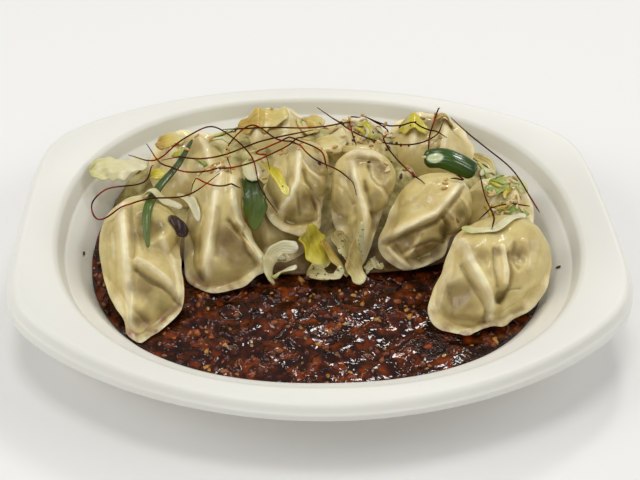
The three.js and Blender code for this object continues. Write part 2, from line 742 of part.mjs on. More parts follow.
// Closed thin sheet round rows of points, both faces split into triangles alike.
function sheetSkin(rows, thickness) {
  const steps = rows.length - 1;
  const across = rows[0].length - 1;
  const faceUp = [];
  const faceDown = [];
  rows.forEach((row, step) => {
    row.forEach((point, column) => {
      const along = new THREE.Vector3().subVectors(
        rows[Math.min(step + 1, steps)][column],
        rows[Math.max(step - 1, 0)][column],
      );
      const side = new THREE.Vector3().subVectors(
        row[Math.min(column + 1, across)],
        row[Math.max(column - 1, 0)],
      );
      const normal = along.cross(side).setLength(0.5 * thickness);
      faceUp.push(point.clone().add(normal));
      faceDown.push(point.clone().sub(normal));
    });
  });
  const columns = across + 1;
  const under = faceUp.length;
  const faces = [];
  const quad = (a, b, c, d) => faces.push(a, b, c, a, c, d);
  for (let step = 0; step < steps; step += 1) {
    for (let column = 0; column < across; column += 1) {
      const a = step * columns + column;
      quad(a, a + columns, a + columns + 1, a + 1);
      faces.push(under + a, under + a + columns + 1, under + a + columns);
      faces.push(under + a, under + a + 1, under + a + columns + 1);
    }
    const first = step * columns;
    const last = first + across;
    quad(first, under + first, under + first + columns, first + columns);
    quad(last, last + columns, under + last + columns, under + last);
  }
  for (let column = 0; column < across; column += 1) {
    const end = steps * columns + column;
    quad(column, column + 1, under + column + 1, under + column);
    quad(end, under + end, under + end + 1, end + 1);
  }
  const geometry = new THREE.BufferGeometry();
  const positions = [...faceUp, ...faceDown].flatMap((point) => point.toArray());
  geometry.setAttribute('position', new THREE.Float32BufferAttribute(positions, 3));
  geometry.setIndex(faces);
  return geometry;
}

const frontCount = 6;
const frontMesh = { segments: 24, bands: 10 };
const backMesh = { segments: 18, bands: 8 };
const pocket = { segments: 10, bands: 6, gap: 2.4 };
const shredGap = 0.5;

function meshedDumpling(index) {
  const { segments, bands } = index < frontCount ? frontMesh : backMesh;
  return dumplingGeometry(index, segments, bands);
}

// Gentle lumps of the sauce's surface.
function sauceHeight(x, y) {
  const waves = Math.sin(0.23 * x + 0.9) * Math.cos(0.19 * y) + Math.sin(0.37 * y - 0.21 * x);
  return sauceTop + 0.5 * sauceRelief * waves;
}

function sauceGeometry() {
  const angles = bowlAngles(bowl.sides);
  const side = (size, height) => ring(
    angles,
    (angle) => ovalRadius(size.halfLength, size.halfWidth, bowl.ovalPower, angle) - clearance,
    () => height,
  );
  const surface = (share) => side(wellOval, 0).map((point) => {
    const x = share * point.x;
    const y = share * point.y;
    return new THREE.Vector3(x, y, sauceHeight(x, y));
  });
  const rings = [side(floorOval, floorOval.height + clearance), side(filletOval, filletOval.height)];
  for (const share of [0.995, 0.86, 0.68, 0.45]) {
    rings.push(surface(share));
  }
  const bottom = new THREE.Vector3(0, 0, floorOval.height + clearance);
  return loft(rings, bottom, new THREE.Vector3(0, 0, sauceHeight(0, 0)));
}

// Bits of garlic and chili that stand out of the sauce in front of the dumplings.
function withBits(geometry, covers) {
  const draw = seededDraw(71);
  const wanted = 16;
  let solid = toSolid(geometry);
  let made = 0;
  while (made < wanted) {
    const x = -66 + 122 * draw();
    const y = -74 + 52 * draw();
    const length = 1.6 + 1.6 * draw();
    const inside = insideRadius(sauceTop, Math.atan2(y, x)) - 6;
    if (Math.hypot(x, y) < inside && topAt(x, y, covers) === null) {
      const bit = new THREE.IcosahedronGeometry(1, 0).scale(length, 0.7 * length, 1.1);
      bit.rotateZ(TURN * draw());
      solid = solid.add(toSolid(bit.translate(x, y, sauceHeight(x, y) + 0.1)));
      made += 1;
    }
  }
  return toGeometry(solid);
}

// The heap of shredded cabbage that the dumplings lie on.
const heap = {
  middle: [0, 33],
  halfLength: 100,
  halfWidth: 51,
  base: restingHeight + clearance,
  frontHeight: 6,
  backHeight: 29,
  sides: 30,
};

// The heap rises from the front to the back.
function heapHeight(x, y, share) {
  const lumps = 1.3 * Math.sin(0.2 * x + 0.6) * Math.cos(0.23 * y) + 0.9 * Math.sin(0.41 * x - 0.3 * y);
  const back = THREE.MathUtils.smoothstep(y, 0, 55);
  const rise = THREE.MathUtils.lerp(heap.frontHeight, heap.backHeight, back);
  return heap.base + (rise + lumps) * (1 - share ** 3) ** 0.8;
}

function heapCore() {
  const angles = Array.from({ length: heap.sides }, (_, side) => (TURN * side) / heap.sides);
  const level = (share, height) => angles.map((angle) => {
    const radius = share * ovalRadius(heap.halfLength, heap.halfWidth, 2.3, angle);
    const x = heap.middle[0] + radius * Math.cos(angle);
    const y = heap.middle[1] + radius * Math.sin(angle);
    return keepInBowl(new THREE.Vector3(x, y, height ?? heapHeight(x, y, share)));
  });
  const rings = [level(0.97, heap.base)];
  for (const share of [0.99, 0.9, 0.74, 0.5, 0.25]) {
    rings.push(level(share));
  }
  const [x, y] = heap.middle;
  return loft(rings, new THREE.Vector3(x, y, heap.base), new THREE.Vector3(x, y, heapHeight(x, y, 0)));
}

const shredThickness = 1.3;

// Shreds that stick out of the heap at the back, at random.
function shreds() {
  const draw = seededDraw(29);
  const wanted = 7;
  const reach = 8;
  let solid = null;
  for (let count = 0; count < wanted; count += 1) {
    const angle = Math.PI * (0.02 + (0.96 * (count + 0.5)) / wanted);
    const share = 0.72 + 0.2 * draw();
    const x = heap.middle[0] + share * heap.halfLength * Math.cos(angle);
    const y = heap.middle[1] + share * heap.halfWidth * Math.sin(angle);
    const heading = TURN * draw();
    const path = [-1, 0, 1].map((step) => {
      const along = x + reach * step * Math.cos(heading);
      const at = keepInBowl(new THREE.Vector3(along, y + reach * step * Math.sin(heading), 30));
      const shareX = (at.x - heap.middle[0]) / heap.halfLength;
      const shareY = (at.y - heap.middle[1]) / heap.halfWidth;
      const height = heapHeight(at.x, at.y, Math.min(1, Math.hypot(shareX, shareY)));
      return [at.x, at.y, height + 0.6 + 1.2 * Math.abs(step)];
    });
    const shape = { path, width: 4 + 2 * draw(), roll: 20 - 40 * draw(), steps: 3, across: 1 };
    const piece = toSolid(insideBowl(sheetSkin(sheetRows(shape), shredThickness)));
    solid = solid === null ? piece : solid.add(piece);
  }
  return solid;
}

// The dumplings press rough pockets into the heap, and its shreds end close beside them.
function heapGeometry() {
  let core = toSolid(heapCore());
  dumplings.forEach((_, index) => {
    const coarse = dumplingGeometry(index, pocket.segments, pocket.bands);
    core = core.subtract(toSolid(swollen(coarse, pocket.gap)));
  });
  let solid = core.add(shreds());
  dumplings.forEach((_, index) => {
    solid = solid.subtract(toSolid(swollen(meshedDumpling(index), shredGap)));
  });
  return toGeometry(largestBody(solid));
}

// Sesame seeds, in patches: where in plan, how far the patch reaches and how many seeds show.
const seed = { length: 3.3, width: 2.1, thickness: 1.2, standsOut: 0.35, room: 2.4 };
const seedPatches = [
  { middle: [-44, 9], reach: 9, count: 6 },
  { middle: [37, 9], reach: 7, count: 4 },
  { middle: [24, 50], reach: 12, count: 5 },
  { middle: [84, 3], reach: 9, count: 5 },
  { middle: [86, -29], reach: 9, count: 3 },
  { middle: [-107.5, -6], reach: 1, count: 1 },
  { middle: [107.5, -20], reach: 2, count: 1 },
];

// Fuses the seeds to whichever piece of food they lie on, clear of its neighbours.
function sowSeeds(pieces) {
  const draw = seededDraw(443);
  const meshes = pieces.map(({ geometry }) => new THREE.Mesh(geometry));
  for (const { middle, reach, count } of seedPatches) {
    let made = 0;
    while (made < count) {
      const angle = TURN * draw();
      const distance = reach * Math.sqrt(draw());
      const twist = TURN * draw();
      const x = middle[0] + distance * Math.cos(angle);
      const y = middle[1] + distance * Math.sin(angle);
      const around = [[0, 0], [seed.room, 0], [-seed.room, 0], [0, seed.room], [0, -seed.room]];
      const hits = around.map(([dx, dy]) => topAt(x + dx, y + dy, meshes));
      const host = hits[0] === null ? null : hits[0].object;
      if (host !== null && hits.every((hit) => hit !== null && hit.object === host)) {
        const grain = new THREE.IcosahedronGeometry(0.5, 0).scale(seed.length, seed.width, seed.thickness);
        const upright = new THREE.Vector3(0, 0, 1);
        const { point, face } = hits[0];
        grain.rotateZ(twist);
        grain.applyQuaternion(new THREE.Quaternion().setFromUnitVectors(upright, face.normal));
        grain.translate(...point.addScaledVector(face.normal, seed.standsOut).toArray());
        const piece = pieces[meshes.indexOf(host)];
        piece.geometry = toGeometry(toSolid(piece.geometry).add(toSolid(grain)));
        made += 1;
      }
    }
  }
}

// Scallion and cabbage on top, each as a sheet: path, width, steps along and across, colour.
const green = 0x2f5a1e;
const toppings = [
  {
    name: 'scallion_blade',
    path: [[-59, 41, 46], [-65, 25, 44], [-73, 8, 44], [-76, -8, 46], [-76, -17, 43], [-75, -25, 39]],
    width: 4.4,
    steps: 10,
    taper: 0.8,
    cup: 0.5,
    color: green,
  },
  {
    name: 'scallion_curl',
    path: [[49, 27, 45], [57, 27, 46], [65, 22, 46], [72, 17, 45]],
    width: 10,
    thickness: 1.4,
    steps: 7,
    across: 3,
    roll: 40,
    cup: 3,
    color: green,
  },
  {
    name: 'scallion_leaf',
    path: [[-32, 19, 43.5], [-30.5, 9, 42.5], [-29.5, 0, 38.5], [-30, -8, 32.5]],
    width: 11,
    steps: 6,
    across: 2,
    taper: 0.9,
    roll: 10,
    cup: -1.2,
    color: 0x35562a,
  },
  {
    name: 'cabbage_leaf_10',
    path: [[-33, 27, 45], [-31, 19, 45], [-30, 12, 44.5]],
    width: 9,
    steps: 4,
    across: 2,
    taper: 0.5,
    cup: 1,
    color: 0xc4bd8c,
  },
  {
    name: 'cabbage_strip_1',
    path: [[-25, 20, 49], [-20, 10, 49], [-15, -1, 47]],
    width: 4.4,
    steps: 5,
    roll: -15,
    color: 0xd6d24a,
  },
  {
    name: 'cabbage_strip_2',
    path: [[-65, 9, 40], [-59, 4, 40], [-54, -8, 38]],
    width: 3.2,
    steps: 5,
    color: 0xe6e2c4,
  },
  {
    name: 'cabbage_strip_3',
    path: [[-80, 3, 44], [-70, 2, 42], [-62, 2, 38]],
    width: 5,
    steps: 4,
    across: 2,
    cup: 0.8,
    color: 0xe2dfb8,
  },
  {
    name: 'cabbage_fold',
    path: [[-21.5, -24.5, 15], [-24, -18, 19], [-22, -13.5, 23.5], [-17, -12, 26.5], [-10.5, -13, 26]],
    width: 6.5,
    steps: 8,
    roll: 50,
    color: 0xe9e6d2,
  },
  {
    name: 'cabbage_leaf_9',
    path: [[-22, -22.5, 17], [-17, -19.5, 18.5], [-11, -17.5, 19.5]],
    width: 9,
    steps: 4,
    across: 2,
    taper: 0.5,
    roll: -50,
    cup: 0.8,
    color: 0xb9b48a,
  },
  {
    name: 'cabbage_shred_1',
    path: [[-6, -4.5, 28], [-4, -8.5, 25.5], [-1, -12, 21], [2, -16, 17]],
    width: 12,
    steps: 5,
    across: 2,
    cup: -1.2,
    color: 0xd2cb4e,
  },
  {
    name: 'cabbage_shred_2',
    path: [[-0.5, -9.5, 27.5], [4, -12.5, 23], [8.5, -16, 19], [11.5, -20.5, 15.5]],
    width: 5,
    steps: 5,
    roll: -20,
    color: 0xd8ce62,
  },
  {
    name: 'cabbage_shred_3',
    path: [[-7, -19, 16], [2, -20.5, 16], [10, -20.5, 16]],
    width: 4.5,
    steps: 4,
    color: 0xddd3a0,
  },
  {
    name: 'cabbage_shred_4',
    path: [[6, -5, 29], [10, -9.5, 25], [13.5, -13.5, 20.5], [15.5, -18, 17]],
    width: 8,
    steps: 6,
    across: 2,
    cup: -0.8,
    color: 0xc9b85a,
  },
  {
    name: 'cabbage_shred_5',
    path: [[11.5, -16, 19], [15, -19.5, 17], [18, -24.5, 15]],
    width: 8,
    steps: 4,
    across: 2,
    roll: -10,
    cup: -0.6,
    color: 0xddd8a4,
  },
  {
    name: 'chili_piece',
    path: [[-67, -7, 41], [-63, -9, 37], [-60, -12, 33]],
    width: 6,
    steps: 3,
    color: 0x3a1618,
  },
  {
    name: 'cabbage_leaf_1',
    path: [[-77, 44, 40], [-70, 46, 42], [-63, 47, 42]],
    width: 12,
    steps: 4,
    across: 2,
    taper: 0.6,
    cup: 1.5,
    wave: 0.8,
    color: 0xcfc26a,
  },
  {
    name: 'cabbage_leaf_2',
    path: [[-79, 25, 37], [-75, 26, 38], [-70, 27, 37]],
    width: 8,
    steps: 3,
    across: 2,
    taper: 0.6,
    cup: 1,
    wave: 0.6,
    color: 0xc9c94a,
  },
  {
    name: 'cabbage_leaf_3',
    path: [[-108, 35, 32], [-99, 36, 33], [-89, 36, 34], [-80, 35, 36]],
    width: 14,
    steps: 6,
    across: 2,
    taper: 0.5,
    roll: 10,
    cup: 1.2,
    wave: 1,
    color: 0xd3d69a,
  },
  {
    name: 'cabbage_leaf_4',
    path: [[-38, 56, 42], [-26, 58, 43], [-13, 57, 43]],
    width: 14,
    steps: 5,
    across: 2,
    taper: 0.6,
    cup: 1.6,
    wave: 0.8,
    color: 0xd8cf96,
  },
  {
    name: 'cabbage_leaf_5',
    path: [[-7, 62, 40], [-1, 64, 40], [5, 65, 38]],
    width: 11,
    steps: 3,
    across: 2,
    taper: 0.6,
    cup: 1.2,
    wave: 0.8,
    color: 0xd9b95e,
  },
  {
    name: 'cabbage_leaf_6',
    path: [[41, 57, 40], [47, 51, 42], [53, 46, 42]],
    width: 11,
    steps: 4,
    across: 2,
    taper: 0.6,
    cup: 1.4,
    wave: 0.8,
    color: 0xe0d43c,
  },
  {
    name: 'cabbage_leaf_7',
    path: [[57, 54, 42], [63, 56, 42], [69, 57, 41]],
    width: 11,
    steps: 4,
    across: 2,
    taper: 0.6,
    cup: 1.4,
    wave: 0.8,
    color: 0xd6b65a,
  },
  {
    name: 'cabbage_rib',
    path: [[-1, 41, 41], [6, 42, 42], [14, 42, 42]],
    width: 12,
    thickness: 2.4,
    steps: 4,
    across: 2,
    cup: 1.5,
    roll: 10,
    color: 0xe4dcb6,
  },
  {
    name: 'cabbage_rib_2',
    path: [[11, 35, 44], [19, 36, 44.5], [27, 35, 44]],
    width: 6,
    thickness: 1.6,
    steps: 4,
    cup: 0.8,
    color: 0xdfd49c,
  },
  {
    name: 'cabbage_leaf_8',
    path: [[76, 6, 40], [84, 16, 40], [92, 20, 37], [98, 17, 33]],
    width: 10,
    steps: 5,
    across: 2,
    taper: 0.6,
    cup: 1.2,
    wave: 1.2,
    color: 0xa9c25c,
  },
  {
    name: 'scallion_shred',
    path: [[82, -4, 38], [90, 2, 36], [96, 1, 33]],
    width: 3,
    steps: 4,
    color: 0x7fae3c,
  },
  {
    name: 'cabbage_strip_4',
    path: [[60, -18, 43], [68, -22, 44], [75, -21, 44], [84, -13, 43], [92, -4, 38]],
    width: 4.6,
    steps: 6,
    roll: 5,
    color: 0xe6e3cf,
  },
];

// Fine threads of dried chili, as points along each.
const threads = [
  [
    [-77, 31, 38], [-80, 22, 36], [-98, 19, 34], [-103, 8, 35],
    [-96, -9, 40], [-77, -3, 47], [-59, -3, 49], [-45, 5, 55],
  ],
  [
    [-90, 42, 36], [-76, 33, 40], [-64, 42, 45], [-51, 52, 45],
    [-40, 41, 47], [-31, 26, 47], [-27, 5, 46], [-20, -3, 39],
  ],
  [[-81, 43, 42], [-71, 25, 42], [-53, 11, 51], [-34, 11, 55], [-16, 22, 56], [-1, 45, 47]],
  [[-73, 33, 40], [-47, 23, 50], [-26, 36, 49], [-2, 47, 47]],
  [[-45, 47, 47], [-23, 49, 47], [-3, 50, 46], [19, 54, 46]],
  [[-40, 6, 54], [-42, 30, 50], [-31, 48, 49], [-18, 32, 51], [-5, 15, 56], [8, 10, 51], [15, -2, 48]],
  [[-23, 13, 50], [-29, 23, 51], [-16, 25, 55], [0, 21, 55], [3, 15, 49]],
  [[-58, 1, 40], [-45, -1, 51], [-36, 2, 49]],
  [[1, 68, 45], [15, 47, 47], [31, 37, 47], [46, 36, 47], [57, 43, 47], [61, 51, 47]],
  [[18, 36, 46], [16, 46, 46], [17, 58, 45], [22, 60, 45]],
  [[22, 61, 45], [42, 47, 46], [62, 42, 46]],
  [[24, 58, 45], [34, 48, 46], [31, 38, 46], [40, 15, 48], [46, 4, 49]],
  [[61, 62, 47], [57, 52, 47], [53, 40, 45], [52, 33, 45]],
  [[65, 53, 48], [80, 39, 43], [92, 26, 39], [99, 9, 34], [102, 5, 31]],
  [[74, 17, 44], [74, 2, 43], [75, -13, 44], [72, -23, 45]],
  [[68, -15, 45], [82, -1, 41], [97, 6, 34]],
  [[58, 7, 50], [64, 7, 49], [62, 12, 48]],
];
const thread = { width: 0.5, thickness: 0.5, across: 1, taper: 0 };
const threadStep = 8;

const pieces = [{ name: 'bowl', geometry: bowlGeometry(), color: 0xe6e4dc, roughness: 0.45 }];
dumplings.forEach(({ name }, index) => {
  pieces.push({ name, geometry: meshedDumpling(index), color: 0xd8cda6, roughness: 0.35 });
});
pieces.push({ name: 'cabbage_heap', geometry: heapGeometry(), color: 0xd9d08a, roughness: 0.5 });
sowSeeds(pieces);
for (const { name, geometry, color, roughness } of pieces) {
  addMesh(name, geometry, color, roughness);
}
const onTop = [...food.children].slice(1);
addMesh('sauce', withBits(sauceGeometry(), onTop), 0x4a1c10, 0.2);

// Lays a sheet on the food: draped, then lifted until it touches nothing.
function layOnFood(rows, thickness) {
  drape(rows, thickness, food.children);
  const lift = 0.2;
  const placed = food.children.map((mesh) => toSolid(mesh.geometry));
  const touches = (geometry) => {
    const solid = toSolid(geometry);
    return placed.some((other) => !solid.intersect(other).isEmpty());
  };
  let geometry = sheetSkin(rows, thickness + 2 * lift);
  while (touches(geometry)) {
    for (const point of rows.flat()) {
      point.z += lift;
    }
    geometry = sheetSkin(rows, thickness + 2 * lift);
  }
  return sheetSkin(rows, thickness);
}

for (const { name, thickness = 1, across = 1, color, ...shape } of toppings) {
  addMesh(name, layOnFood(sheetRows({ ...shape, across }), thickness), color, 0.4);
}
threads.forEach((path, index) => {
  let length = 0;
  for (let step = 1; step < path.length; step += 1) {
    length += new THREE.Vector3(...path[step]).distanceTo(new THREE.Vector3(...path[step - 1]));
  }
  const steps = Math.max(3, Math.round(length / threadStep));
  const geometry = layOnFood(sheetRows({ ...thread, path, steps }), thread.thickness);
  addMesh(`chili_thread_${index + 1}`, geometry, 0x3c1210, 0.5);
});

export default food;
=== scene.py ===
import math

import bpy
import numpy as np
from mathutils import Matrix, Vector
from mathutils.bvhtree import BVHTree


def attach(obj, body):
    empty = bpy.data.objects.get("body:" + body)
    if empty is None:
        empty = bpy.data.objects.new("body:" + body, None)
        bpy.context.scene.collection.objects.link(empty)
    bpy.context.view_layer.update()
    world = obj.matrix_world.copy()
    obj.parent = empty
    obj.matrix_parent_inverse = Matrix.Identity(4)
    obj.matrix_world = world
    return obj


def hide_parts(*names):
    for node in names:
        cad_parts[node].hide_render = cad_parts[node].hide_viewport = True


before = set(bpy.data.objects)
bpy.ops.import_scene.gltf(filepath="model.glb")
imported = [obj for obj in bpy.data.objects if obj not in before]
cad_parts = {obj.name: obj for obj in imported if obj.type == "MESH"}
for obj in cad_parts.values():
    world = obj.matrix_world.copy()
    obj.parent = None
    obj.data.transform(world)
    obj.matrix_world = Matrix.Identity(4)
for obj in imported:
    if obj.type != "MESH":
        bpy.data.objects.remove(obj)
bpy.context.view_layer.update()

MM = 0.001
TURN = 2 * math.pi

# The bowl: a wide rim with squared ends and a lip turned down, a steep wall, a ledge and the well.
RIM_HALF_LENGTH = 130
SIDE_OVAL = (150.2, 103, 1.94)
END_BOW = 400
CORNER_SHARPNESS = 28.7
CREST_HEIGHT = 32
CREST_RISE = 5.5
MOUTH_RISE = 0.8
LIP_BOTTOM = 26.8
LIP_FLARE = 4.7
WALL = 1.4
OVAL_POWER = 2.26
# Ovals of the inside from the floor up: half length, half width, height.
FLOOR = (96, 70.5, 1.7)
FILLET = (101.5, 76, 4.6)
WELL = (104.6, 79, 12)
WELL_TOP = (109, 83.4, 19.6)
LEDGE = (114.6, 91.8, 23.6)
MOUTH = (117.2, 94.4, 31.6)
INSIDE = np.array([FLOOR, FILLET, WELL, WELL_TOP, LEDGE, MOUTH], dtype=float)

SAUCE_TOP = 12
SAUCE_RELIEF = 0.7
RESTING_HEIGHT = SAUCE_TOP + 1
CLEARANCE = 0.3
SOFTNESS = 3


def smooth_between(value, low, high):
    share = np.clip((value - low) / (high - low), 0, 1)
    return share * share * (3 - 2 * share)


def oval_radius(half_length, half_width, power, angle):
    along = np.abs(np.cos(angle) / half_length) ** power
    across = np.abs(np.sin(angle) / half_width) ** power
    return (along + across) ** (-1 / power)


def crest_radius(angle):
    side = 1 / oval_radius(*SIDE_OVAL, angle)
    end = np.hypot(np.cos(angle) / RIM_HALF_LENGTH, np.sin(angle) / END_BOW)
    return (side**CORNER_SHARPNESS + end**CORNER_SHARPNESS) ** (-1 / CORNER_SHARPNESS)


def pressed(value, limit):
    """Keeps a value on the near side of a limit, with a soft bend just before it."""
    start = limit - SOFTNESS
    bent = limit - SOFTNESS * np.exp(np.minimum(0, start - value) / SOFTNESS)
    return np.where(value <= start, value, bent)


def inside_radius(height, angle):
    half_length = np.interp(height, INSIDE[:, 2], INSIDE[:, 0])
    half_width = np.interp(height, INSIDE[:, 2], INSIDE[:, 1])
    return oval_radius(half_length, half_width, OVAL_POWER, angle)


def keep_in_bowl(points):
    kept = points.copy()
    kept[:, 2] = -pressed(-points[:, 2], -RESTING_HEIGHT)
    angle = np.arctan2(points[:, 1], points[:, 0])
    radius = np.maximum(1e-6, np.hypot(points[:, 0], points[:, 1]))
    allowed = pressed(radius, inside_radius(kept[:, 2], angle) - CLEARANCE)
    kept[:, :2] *= (allowed / radius)[:, None]
    return kept


# Meshes: a primitive is added, and its vertices are then moved to the shape.
def forget_selection():
    if bpy.context.mode != "OBJECT":
        bpy.ops.object.mode_set(mode="OBJECT")
    bpy.ops.object.select_all(action="DESELECT")


def added(name):
    piece = bpy.context.object
    piece.name = name
    piece.data.name = name
    return piece


def coordinates(piece):
    flat = np.empty(len(piece.data.vertices) * 3)
    piece.data.vertices.foreach_get("co", flat)
    return flat.reshape(-1, 3)


def put_vertices(piece, points):
    piece.data.vertices.foreach_set("co", (np.asarray(points) * MM).ravel())
    piece.data.update()


def put_attribute(piece, name, values):
    layer = piece.data.attributes.new(name, "FLOAT", "POINT")
    layer.data.foreach_set("value", np.asarray(values, dtype=np.float32))


def ball(name, segments, rings):
    """A round mesh with its poles on z, and the direction of each of its vertices."""
    forget_selection()
    bpy.ops.mesh.primitive_uv_sphere_add(segments=segments, ring_count=rings, radius=1)
    bpy.ops.object.shade_smooth()
    piece = added(name)
    return piece, coordinates(piece)


def on_rings(name, rings, first_middle, last_middle):
    """A closed skin over rings of points, from the middle underneath to the middle on top."""
    sides = len(rings[0])
    piece, place = ball(name, sides, len(rings) + 1)
    level = np.rint(np.arccos(np.clip(place[:, 2], -1, 1)) * (len(rings) + 1) / math.pi).astype(int)
    side = np.rint(np.arctan2(place[:, 1], place[:, 0]) * sides / TURN).astype(int) % sides
    stack = np.array(rings)
    points = stack[np.clip(len(rings) - level, 0, len(rings) - 1), side]
    points[level == 0] = last_middle
    points[level == len(rings) + 1] = first_middle
    put_vertices(piece, points)
    return piece


def finish_piece(piece, material, nodes=()):
    piece.data.materials.clear()
    piece.data.materials.append(material)
    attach(piece, "root")
    if nodes:
        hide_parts(*nodes)
    return piece


# Materials.
def linear(code):
    """Linear colour of an sRGB hex value."""
    channels = [int(code[i : i + 2], 16) / 255 for i in (1, 3, 5)]
    return [c / 12.92 if c <= 0.04045 else ((c + 0.055) / 1.055) ** 2.4 for c in channels] + [1]


def new_material(
    name, roughness=0.5, ior=1.45, subsurface=0, radius=(1, 0.6, 0.4), depth=1, coat=0, coat_roughness=0.1
):
    """A material with the finish of its surface. Light goes into it to a depth in millimetres."""
    material = bpy.data.materials.new(name)
    material.use_nodes = True
    shader = material.node_tree.nodes["Principled BSDF"]
    shader.inputs["Roughness"].default_value = roughness
    shader.inputs["IOR"].default_value = ior
    shader.inputs["Subsurface Weight"].default_value = subsurface
    shader.inputs["Subsurface Radius"].default_value = radius
    shader.inputs["Subsurface Scale"].default_value = depth * MM
    shader.inputs["Coat Weight"].default_value = coat
    shader.inputs["Coat Roughness"].default_value = coat_roughness
    return material, shader


def set_inputs(material, node, inputs):
    """Gives each input, by its name or number, a value, a hex colour or another node's output."""
    for place, value in inputs.items():
        if isinstance(value, bpy.types.NodeSocket):
            material.node_tree.links.new(value, node.inputs[place])
        else:
            node.inputs[place].default_value = linear(value) if isinstance(value, str) else value


def add_node(material, kind, inputs=(), output=0, stops=(), **settings):
    """Adds a node with its settings, inputs and ramp colours, and returns one of its outputs."""
    node = material.node_tree.nodes.new("ShaderNode" + kind)
    for name, value in settings.items():
        setattr(node, name, value)
    for _ in stops[2:]:
        node.color_ramp.elements.new(0.5)
    for place, (position, code) in enumerate(stops):
        node.color_ramp.elements[place].position = position
        node.color_ramp.elements[place].color = linear(code)
    set_inputs(material, node, inputs if isinstance(inputs, dict) else dict(enumerate(inputs)))
    return node.outputs[output]


def put_finish(material, shader, color, relief=None, depth=0):
    """Gives a material its colour, and relief of a depth in millimetres."""
    set_inputs(material, shader, {"Base Color": color})
    if relief:
        bump = {"Height": relief, "Strength": 1, "Distance": depth * MM}
        set_inputs(material, shader, {"Normal": add_node(material, "Bump", bump)})


def patches(material, *sizes):
    """Where a piece's uneven patches lie, for pairs of their width in millimetres and how broken
    their edges are, and the place on the piece itself."""
    place = add_node(material, "TexCoord", output="Object")
    found = [add_node(material, "TexNoise", (place, 0, 1 / (size * MM), detail)) for size, detail in sizes]
    return found + [place]


RGB = dict(output=2, data_type="RGBA")
ADD = dict(operation="ADD")
MULTIPLY = dict(operation="MULTIPLY")

# Moulded polypropylene, off-white and satin, with the faint unevenness of a thin moulded wall.
bowl_plastic, shader = new_material("moulded_polypropylene", 0.4, 1.49, 0.35, (1, 0.98, 0.9), 6)
tint, ripple, _ = patches(bowl_plastic, (60, 1), (14, 2))
white = add_node(bowl_plastic, "Mix", {0: tint, 6: "#ecebe1", 7: "#e8e5da"}, **RGB)
put_finish(bowl_plastic, shader, white, ripple, 0.12)

# Boiled wheat dough: moist and half clear where it is thin, so that the filling shows through greyish,
# and cream where it is folded double. Sauce has stained it orange near the bottom. Shade is painted
# in as well: brown along the creases, and the filling's dark colour deepened in the hollows.
dough, shader = new_material("boiled_wheat_dough", 0.36, 1.42, 0.35, (1, 0.75, 0.4), 2, 0.35, 0.12)
folded, filling_and_hollow_shade, painted_crease_shade = (
    add_node(dough, "Attribute", (), "Fac", attribute_name=name) for name in ("dough", "filling", "crease_shade")
)
mottle, meat, film, splash, area, fine, coarse, place = patches(
    dough, (9, 3), (16, 1), (6, 3), (5, 3), (17, 1), (1.7, 2), (4, 4)
)
cream_stops = [(0, "#dcc985"), (0.3, "#e5d191"), (0.6, "#f2e0a8"), (1, "#fbeec2")]
cream = add_node(dough, "ValToRGB", (folded,), stops=cream_stops)
mottle = add_node(dough, "MapRange", (mottle, 0.42, 0.7, 0, 0.4))
outside = add_node(dough, "Mix", {0: mottle, 6: cream, 7: "#b3954c"}, **RGB)
meat = add_node(dough, "MapRange", (meat, 0.42, 0.58))
inside = add_node(dough, "Mix", {0: meat, 6: "#755222", 7: "#725d2c"}, **RGB)
film = add_node(dough, "MapRange", (film, 0.3, 0.7, -0.2, 0.15))
# Where the filling shows through thin dough, with painted shade in the deep hollows added in.
showing_and_shade = add_node(dough, "Math", (filling_and_hollow_shade, film), **ADD)
showing_and_shade = add_node(dough, "MapRange", (showing_and_shade, 0.05, 1, 0, 0.75))
body = add_node(dough, "Mix", {0: showing_and_shade, 6: outside, 7: inside}, **RGB)
# Painted shade: the dough darkens to brown along the creases.
shaded = add_node(dough, "MapRange", (painted_crease_shade, 0, 1, 0, 0.3))
body = add_node(dough, "Mix", {0: shaded, 6: body, 7: "#6e4c22"}, **RGB)
height = add_node(dough, "SeparateXYZ", (place,), "Z")
low = add_node(dough, "MapRange", (height, 17.2 * MM, 13.5 * MM))
splash = add_node(dough, "MapRange", (splash, 0.35, 0.65))
stain = add_node(dough, "Math", (splash, low), **MULTIPLY)
body = add_node(dough, "Mix", {0: stain, 6: body, 7: "#8a4a1e"}, **RGB)
area = add_node(dough, "MapRange", (area, 0.5, 0.62, 0, 0.45))
wrinkles = add_node(dough, "Math", (fine, area), **MULTIPLY)
put_finish(dough, shader, body, add_node(dough, "Math", (coarse, wrinkles), **ADD), 0.4)

# Chili oil and soy over ground chili: nearly black red, glossy, lumpy, with redder shallow patches.
sauce_oil, shader = new_material("chili_oil_and_soy", 0.08, 1.4, 0.1, (1, 0.3, 0.1), 2)
OIL_STOPS = [(0.32, "#1a0803"), (0.46, "#301005"), (0.56, "#4e1e07"), (0.7, "#7d350e")]
# The oil's crests catch the light as bright lines, most of all in one place at the right.
FROTH_MIDDLE = Vector((48, -56.5, 12)) * MM
FROTH_REACH = Vector((14, 8, 20)) * MM


def crests(middle_line, width, height, where):
    """Thin winding crests, a height in millimetres, broken off where the mask is low."""
    share = add_node(sauce_oil, "Math", (middle_line, 0.5), operation="SUBTRACT")
    share = add_node(sauce_oil, "Math", (share, 1 / width), **MULTIPLY)
    square = add_node(sauce_oil, "Math", (share, share), **MULTIPLY)
    square = add_node(sauce_oil, "Math", (square, -1), **MULTIPLY)
    line = add_node(sauce_oil, "Math", (square,), operation="EXPONENT")
    where = add_node(sauce_oil, "Math", (where, height), **MULTIPLY)
    return add_node(sauce_oil, "Math", (line, where), **MULTIPLY)


